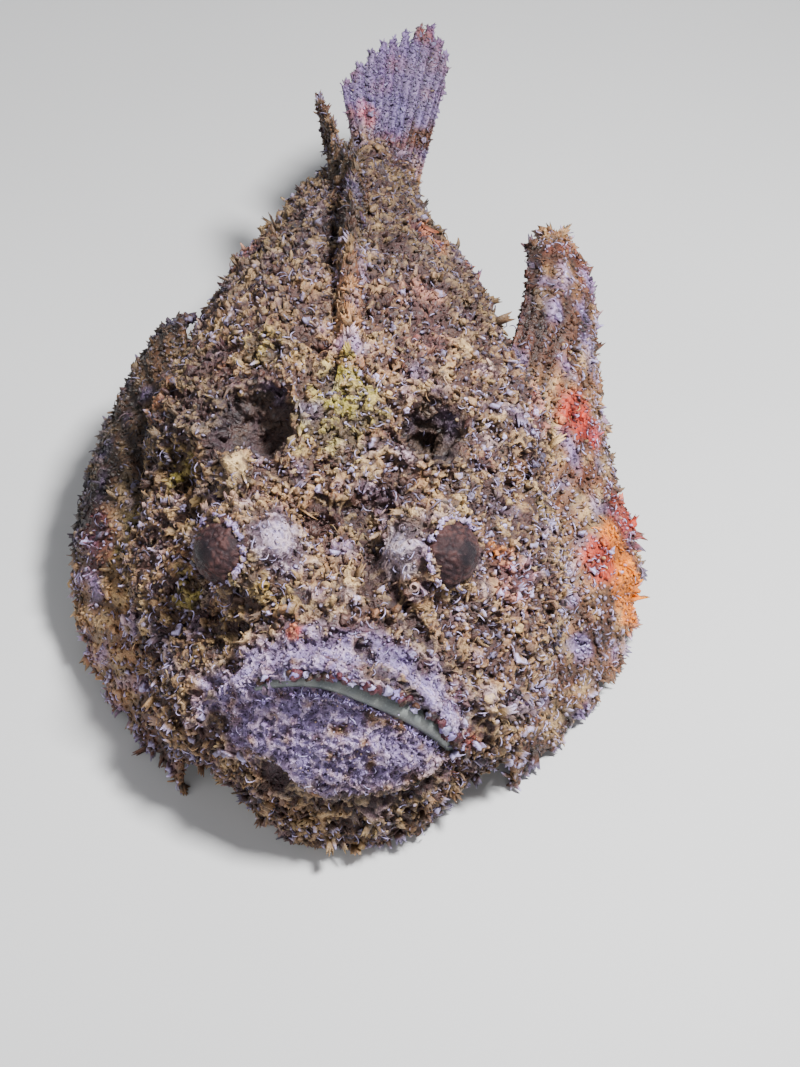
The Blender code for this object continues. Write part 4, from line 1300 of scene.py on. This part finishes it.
def growth(kind, size, points, normals):
    """How likely a tuft is to grow at each point."""
    bare, face = smoothness(points), face_share(points)
    if size is GRIT:
        keep = np.maximum(face, 0.6 * bare)
    else:
        keep = (1 - bare) * (1 - 0.7 * above(-normals[:, 2], 0.3, 0.4))
        keep = keep * (1 - (0.6 if kind == "threads" else 0.9) * face)
    if size is SKIRT:
        keep = keep * (points[:, 2] < SKIRT_TOP)
    elif kind == "flaps":
        keep = keep * (0.25 + 0.75 * below(normals[:, 2], 0.55, 0.4))
    keep = keep * (1 - (0.95 if kind == "knobs" else 1.0) * pit_share(points))
    keep = keep * (1 - 0.95 * fold_share(points))
    room = KNOB_EYE_GAP if kind == "knobs" else TUFT_EYE_GAP
    return keep * (eye_distance(points) > EYE_RADIUS + room)


def coat_on(mesh, prefix, kinds_of, rng, uv_of, plan, scale=1.0):
    """Tufts over one surface: for each step of the plan its kind, size, lean and pale share."""
    made = []
    for kind, size, lean, pale in plan:
        points, normals, tones = surface_points(mesh, size["spacing"] * scale, rng)
        chosen = rng.random(len(points)) < growth(kind, size, points, normals)
        if chosen.any():
            points, tones = points[chosen], tones[chosen]
            ways = leaned(normals[chosen], rng, lean)
            made += set_of_tufts(
                prefix + size.get("name", kind), kinds_of[kind], size, points, ways, tones,
                uv_of(points), rng, pale, scale,
            )
    return made


BODY_PLAN = (
    ("knobs", KNOB, 0.45, 0.42),
    ("knobs", GRIT, 0.40, 0.58),
    ("clumps", CLUMP, 0.30, 0.30),
    ("papillae", PAPILLA, 0.60, 0.35),
    ("threads", THREAD, 0.20, 0.70),
    ("flaps", FLAP, 0.45, 0.25),
    ("flaps", SKIRT, 0.50, 0.20),
)
FIN_PLAN = (
    ("knobs", KNOB, 0.45, 0.36),
    ("knobs", FIN_GRIT, 0.45, 0.45),
    ("clumps", CLUMP, 0.30, 0.30),
    ("papillae", PAPILLA, 0.60, 0.30),
    ("threads", THREAD, 0.20, 0.70),
)


def fin_faces(columns, width):
    """Faces of the two sides of a fin, closed all round its border."""
    size = columns * width
    faces = []
    for j in range(columns - 1):
        for i in range(width - 1):
            a = j * width + i
            faces.append((a, a + width, a + width + 1, a + 1))
            faces.append((size + a + 1, size + a + width + 1, size + a + width, size + a))
    border = [j * width for j in range(columns)]
    border += [(columns - 1) * width + i for i in range(1, width)]
    border += [j * width + width - 1 for j in range(columns - 2, -1, -1)]
    border += [i for i in range(width - 2, 0, -1)]
    return faces + [(a, size + a, size + b, b) for a, b in zip(border, border[1:] + border[:1])]


def ray_fin(name, rays, root, tip, thick, notch, bulge=Vector(), rows=34, per_ray=8, ragged=0.035):
    """A fin with rounded rays raised in its own skin, and a ragged edge."""
    columns, width = (rays - 1) * per_ray + 1, rows + 1
    t = np.arange(columns) / (columns - 1)
    starts, ends = np.array([root(a) for a in t]), np.array([tip(a) for a in t])
    crest = np.abs(np.cos(np.arange(columns) / per_ray * math.pi)) ** 1.6
    edge = 1 - notch * (1 - crest) + ragged * wave(ends, 0.0035, 4.4)
    share = (np.arange(width) / rows)[None, :]
    r = edge[:, None] * share
    grid = starts[:, None, :] + (ends - starts)[:, None, :] * r[:, :, None]
    grid += np.array(bulge)[None, None, :] * (4 * r * (1 - r))[:, :, None]
    normal = np.cross(np.gradient(grid, axis=0), np.gradient(grid, axis=1))
    normal /= np.linalg.norm(normal, axis=2)[:, :, None] + 1e-12
    depth = (thick[0] + (thick[1] - thick[0]) * share) * (0.42 + 0.58 * crest)[:, None]
    flat = grid.reshape(-1, 3)
    lumps = (0.0011 * (cells(flat, 0.0042) - 0.4) + 0.0006 * wave(flat, 0.0024, 6.1)).reshape(r.shape)
    lumps *= 1 - 0.6 * share
    half = normal * (depth / 2 + lumps)[:, :, None]
    verts = np.concatenate([(grid + half).reshape(-1, 3), (grid - half).reshape(-1, 3)])
    verts[:, 2] = np.maximum(verts[:, 2], FIN_FLOOR)
    bm = bmesh.new()
    mesh = bpy.data.meshes.new(name)
    mesh.from_pydata(verts.tolist(), [], fin_faces(columns, width))
    mesh.update()
    bm.from_mesh(mesh)
    bmesh.ops.recalc_face_normals(bm, faces=bm.faces)
    bm.to_mesh(mesh)
    bm.free()
    # Darker in the valleys between the rays: painted shade.
    valley = np.tile(np.repeat(1 - crest, width), 2)
    colour = markings(verts)
    add_colour(mesh, "marking", mix(colour, colour * 0.30, 0.85 * valley))
    u = np.repeat(t, width) * 0.46
    v = np.tile(np.arange(width) / rows, columns) * 0.96
    uv = np.concatenate([np.stack([0.02 + u, 0.02 + v], 1), np.stack([0.52 + u, 0.02 + v], 1)])
    obj = new_object(name, mesh)
    add_unwrap(mesh, uv)
    outward = grid[:, -1] - grid[:, -4]
    outward /= np.linalg.norm(outward, axis=1)[:, None]
    return obj, uv, (grid[:, -1], outward, uv[np.arange(columns) * width + rows])


def line_of(points, side=1):
    """The smooth line through the points, mirrored to the right side by -1."""
    return lambda t: Vector(through(points, t)) * Vector((side, 1, 1))


def pectoral(side):
    word, tips = ("left", LEFT_PECTORAL_TIP) if side > 0 else ("right", RIGHT_PECTORAL_TIP)
    return ray_fin(
        "pectoral_" + word, PECTORAL_RAYS, line_of(PECTORAL_ROOT, side), line_of(tips),
        PECTORAL_THICKNESS, PECTORAL_NOTCH, Vector(PECTORAL_BULGE) * Vector((side, 1, 1)), rows=44,
    )


def pelvic(side):
    return ray_fin(
        "pelvic_left" if side > 0 else "pelvic_right", PELVIC_RAYS, line_of(PELVIC_ROOT, side),
        line_of(PELVIC_TIP, side), PELVIC_THICKNESS, PELVIC_NOTCH, rows=24,
    )


def back_of(s):
    angle = heading(s)
    return Vector((math.sin(angle), math.cos(angle), 0))


def median_fin(name, rays, start, end, heights, lean, thick, notch, edge, rows=18):
    def root(t):
        s = start + (end - start) * t
        _, top, bottom = section_at(s)
        middle = bottom + WIDEST_SHARE * (top - bottom)
        reach = (top if edge > 0 else bottom) - middle
        return on_trunk(s, 0, reach - edge * FIN_SINK)

    def tip(t):
        s = start + (end - start) * t
        up = frame_at(s)[2]
        way = up * edge * math.cos(lean) + back_of(s) * math.sin(lean)
        return root(t) + way * (through(heights, t) + FIN_SINK)

    return ray_fin(name, rays, root, tip, thick, notch, rows=rows)


def caudal():
    middle, _, up = frame_at(CAUDAL_ROOT_S)

    def root(t):
        return middle + up * CAUDAL_ROOT_HALF * (1 - 2 * t)

    tip = line_of(CAUDAL_TIP)
    return ray_fin("caudal", CAUDAL_RAYS, root, tip, CAUDAL_THICKNESS, CAUDAL_NOTCH, rows=40)


def surface_tree(mesh):
    """A search tree of a mesh's faces, and the corners of each face."""
    corners = [tuple(p.vertices) for p in mesh.polygons]
    return BVHTree.FromPolygons([tuple(c) for c in arrays_of(mesh)[0]], corners), corners


def make_fins(fin_mat, coat_mat, kinds_of, rng):
    """All fins, each with its own coat and a fringe along its margin.

    Beside each fin stand its node and the scales of its fringe and of its coat.
    """
    spiny = median_fin(
        "dorsal_spiny", DORSAL_SPINES, DORSAL_START, DORSAL_SPINE_END,
        DORSAL_SPINE_HEIGHTS, DORSAL_LEAN, SPINE_THICKNESS, SPINE_NOTCH, 1,
    )
    soft = median_fin(
        "dorsal_soft", SOFT_DORSAL_RAYS, SOFT_DORSAL_START, SOFT_DORSAL_END,
        SOFT_DORSAL_HEIGHTS, DORSAL_LEAN, SOFT_DORSAL_THICKNESS, SOFT_DORSAL_NOTCH, 1,
    )
    anal = median_fin(
        "anal", ANAL_RAYS, ANAL_START, ANAL_END,
        ANAL_HEIGHTS, ANAL_LEAN, ANAL_THICKNESS, ANAL_NOTCH, -1,
    )
    fins = (
        (pectoral(1), "pectoral_fin_left", 1.15, 1.1),
        (pectoral(-1), "pectoral_fin_right", 1.0, 1.1),
        (pelvic(1), "pelvic_fin_left", 0.6, 1.1),
        (pelvic(-1), "pelvic_fin_right", 0.6, 1.1),
        (caudal(), "caudal_fin", 0.5, 0.8),
        (spiny, "dorsal_fin_spiny", 0.8, 1.0),
        (soft, "dorsal_fin_soft", 0.7, 0.9),
        (anal, "anal_fin", 0.6, 1.1),
    )
    for (obj, uv, margin), node, fringe, scale in fins:
        tree, corners = surface_tree(obj.data)

        def uv_of(points):
            return np.array([uv[corners[tree.find_nearest(Vector(p))[2]][0]] for p in points])

        tufted = coat_on(obj.data, obj.name + "_", kinds_of, rng, uv_of, FIN_PLAN, scale)
        edge, outward, edge_uv = margin
        for kind, lean, size in (("flaps", 0.35, FRINGE), ("papillae", 0.55, PAPILLA)):
            chosen = rng.integers(0, len(edge), int(1.3 * len(edge)))
            ways = leaned(outward[chosen], rng, lean)
            tufted += set_of_tufts(
                obj.name + "_fringe_" + kind, kinds_of[kind], size, edge[chosen], ways,
                markings(edge[chosen]), edge_uv[chosen], rng, 0.15, fringe,
            )
        for piece in tufted:
            finish_piece(piece, coat_mat)
        finish_piece(obj, fin_mat, (node,))


def eye_material():
    """Dull brown skin over the eye, with fine specks."""
    mat, tree, place, shader = node_material("eye")
    speck = noise_node(tree, place, 1100, 5, 0.7)["Fac"]
    pale = map_range(tree, speck, 0.58, 0.72, 0.0, 0.45)
    put(shader, {
        "Base Color": mixed(tree, "MIX", pale, marking_colour(tree), (*EYE_SPECK, 1)),
        "Roughness": map_range(tree, speck, 0.4, 0.6, 0.60, 0.36),
        "Normal": bumped(tree, speck, 0.8, 0.0006),
        "Specular IOR Level": 0.22,
    })
    return mat


def make_eyes():
    mat = eye_material()
    for side, word in ((1, "left"), (-1, "right")):
        centre, look = eye_centre(side)
        bm = bmesh.new()
        ellipsoid(bm, (0, 0, 0), (EYE_RADIUS,) * 3, 128)
        obj = raw_object("eyeball_" + word, bm)
        co, normal = arrays_of(obj.data)
        ahead = normal @ np.array(look)
        spot = co + np.array(centre)
        grains, coarse = cells(spot, 0.0016), wave(spot, 0.0040, 3.0)
        colour = mix([EYE_BROWN] * len(co), EYE_RUST, smooth(0.35 + 1.6 * coarse))
        # Darker in the low gaps between the grains: painted shade.
        colour = mix(colour, PAINTED_SHADE, 0.75 * below(grains, 0.42, 0.35))
        pupil = smooth((ahead - 0.905 + 0.03 * coarse) / 0.065)
        colour = mix(colour, PUPIL, 0.80 * pupil)
        add_colour(obj.data, "marking", colour)
        bulge = (1 - pupil) * (0.0008 * (grains - 0.4) + 0.0004 * coarse) + 0.0002 * pupil
        moved = spot + normal * bulge[:, None]
        obj.data.vertices.foreach_set("co", moved.ravel())
        obj.data.update()
        finish_piece(obj, mat, ("eye_" + word,))


def lining(rings=60, sides=12):
    """The smooth membrane that shows between the lips."""
    bm = bmesh.new()
    loops = []
    for k in range(rings):
        share = k / (rings - 1)
        u = -0.80 + 1.64 * share
        here, ahead = mouth_point(u), mouth_point(u + 0.01)
        out = Vector((0, -1, 0))
        across = (ahead - here).normalized().cross(out).normalized()
        taper = math.sin(math.pi * min(max(share, 0.02), 0.98)) ** 0.5
        loop = []
        for j in range(sides):
            angle = 2 * math.pi * j / sides
            offset = across * math.cos(angle) * LINING_HALF + out * math.sin(angle) * LINING_OUT
            loop.append(bm.verts.new(here + offset * taper + Vector((0, 0, -LINING_DROP))))
        loops.append(loop)
    bridge(bm, loops)
    bm.faces.new(loops[0])
    bm.faces.new(list(reversed(loops[-1])))
    bmesh.ops.recalc_face_normals(bm, faces=bm.faces)
    return raw_object("mouth_lining", bm)


def make_lining():
    obj = lining()
    co = arrays_of(obj.data)[0]
    colour = mix([GREY_GREEN] * len(co), LINING_GREY, smooth(0.5 + wave(co, 0.004, 2.0)))
    add_colour(obj.data, "marking", colour)
    finish_piece(obj, skin_material("mouth_lining", 0.18, 0.2, (0.30, 0.5)))


def make_face(skin, coat_mat, kinds_of, rng):
    """Beads and cilia on the lips, rims round the nostrils, and warts round the eyes."""
    tree = surface_tree(skin.data)[0]
    made = []

    def on_skin(points):
        hits = [tree.find_nearest(Vector(p)) for p in points]
        return np.array([h[0] for h in hits]), np.array([h[1] for h in hits])

    def add(name, kind, size, points, ways, tones, pale, scale=1.0):
        uvs = trunk_coordinates(points)
        made.extend(
            set_of_tufts(name, kinds_of[kind], size, points, ways, tones, uvs, rng, pale, scale)
        )

    spread = np.sort(rng.uniform(-0.80, 0.94, LIP_BEADS))
    points, ways = on_skin([mouth_point(u, rng.uniform(0.0026, 0.0062)) + LIP_FRONT for u in spread])
    tones = np.array([PALE, MAROON, LILAC, BROWN, PALE, MAROON])[rng.integers(0, 6, LIP_BEADS)]
    widths, heights = (rng.uniform(*BEAD[key], LIP_BEADS) for key in ("width", "height"))
    tones = tones * rng.uniform(0.45, 0.9, (LIP_BEADS, 1))
    uvs = trunk_coordinates(points)
    made += tufts("lip_beads", kinds_of["clumps"], points, ways, widths, heights, tones, tones, uvs, rng)

    spread = rng.uniform(-0.75, 0.95, LIP_CILIA)
    points, ways = on_skin([mouth_point(u, -0.0040) + LIP_FRONT for u in spread])
    ways = leaned(ways + np.array([0, -0.2, 0.7]), rng, 0.25)
    add("lip_cilia", "papillae", CILIA, points, ways, markings(points), 0.7)

    points, ways = on_skin(NOSTRILS)
    add("nostril_rims", "rings", NOSTRIL, points, ways, markings(points), 0.0)

    for side, name in ((-1, "lid_right_"), (1, "lid_left_")):
        centre, look = eye_centre(side)
        rim = [round_eye(look, a) for a in rng.uniform(0, 2 * math.pi, LID_WARTS)]
        points, ways = on_skin([centre + way * LID_WART_RING + look * LID_WART_OUT for way in rim])
        ways = leaned(ways + 0.6 * np.array(look), rng, 0.3)
        tones = mix(markings(points), LILAC, 0.5 * above(points[:, 2], centre.z, 0.004))
        first, rest = slice(None, LID_WARTS // 2), slice(LID_WARTS // 2, None)
        add(name + "clumps", "clumps", BEAD, points[first], ways[first], tones[first], 0.35, 0.7)
        add(name + "papillae", "papillae", PAPILLA, points[rest], ways[rest], tones[rest], 0.35, 0.6)
    for piece in made:
        finish_piece(piece, coat_mat)


def make_camera():
    cam = bpy.data.cameras.new("camera")
    cam.sensor_fit = "VERTICAL"
    cam.sensor_height = SENSOR_HEIGHT
    cam.lens = SENSOR_HEIGHT * VIEW_FOCAL_PIXELS / VIEW_PIXELS_HIGH
    obj = new_object("camera", cam)
    down, turn = VIEW_DOWN, VIEW_TURN
    ahead = Vector((math.sin(turn) * math.cos(down), math.cos(turn) * math.cos(down), -math.sin(down)))
    right = Vector((math.cos(turn), -math.sin(turn), 0))
    right, up = turned(right, right.cross(ahead), math.cos(VIEW_ROLL), math.sin(VIEW_ROLL))
    matrix = Matrix((right, up, -ahead)).transposed().to_4x4()
    matrix.translation = Vector(VIEW_TARGET) + OFFSET - ahead * VIEW_DISTANCE
    obj.matrix_world = matrix
    bpy.context.scene.camera = obj


def make_lights():
    for name, spot, size, power in LIGHTS:
        light = bpy.data.lights.new(name, "AREA")
        light.size = size
        light.energy = power
        lamp = new_object(name, light)
        lamp.location = spot
        lamp.rotation_euler = (Vector(LIGHT_TARGET) - Vector(spot)).to_track_quat("-Z", "Y").to_euler()
    world = bpy.data.worlds.new("studio")
    world.use_nodes = True
    background = world.node_tree.nodes["Background"].inputs
    put(background, {"Color": (*WORLD_TONE, 1), "Strength": WORLD_STRENGTH})
    bpy.context.scene.world = world


def make_floor():
    bm = bmesh.new()
    bmesh.ops.create_grid(bm, x_segments=1, y_segments=1, size=FLOOR_HALF)
    floor = raw_object("floor", bm)
    mat, tree, place, shader = node_material("floor")
    tone = map_range(tree, noise_node(tree, place, 3.0, 2, 0.5)["Fac"], 0.3, 0.7, 0.50, 0.55)
    put(shader, {"Base Color": tone, "Roughness": 0.9})
    floor.data.materials.append(mat)


def main():
    noise.seed_set(SEED)
    rng = np.random.default_rng(SEED)
    kinds_of = template_sets()
    skin_mat = skin_material("skin", 0.35, 0.8, (0.45, 0.75), 0.55)
    fin_mat = skin_material("fin", 0.25, 0.6, (0.40, 0.65), 0.30)
    coat_mat = skin_material("coat", 0.32, 0.7, (0.32, 0.62))
    skin = make_skin()
    for piece in coat_on(skin.data, "coat_", kinds_of, rng, trunk_coordinates, BODY_PLAN):
        finish_piece(piece, coat_mat)
    make_lining()
    make_face(skin, coat_mat, kinds_of, rng)
    finish_piece(skin, skin_mat, ("head", "lower_jaw", "torso", "tail_stem"))
    make_fins(fin_mat, coat_mat, kinds_of, rng)
    make_eyes()
    make_camera()
    make_lights()
    make_floor()


main()
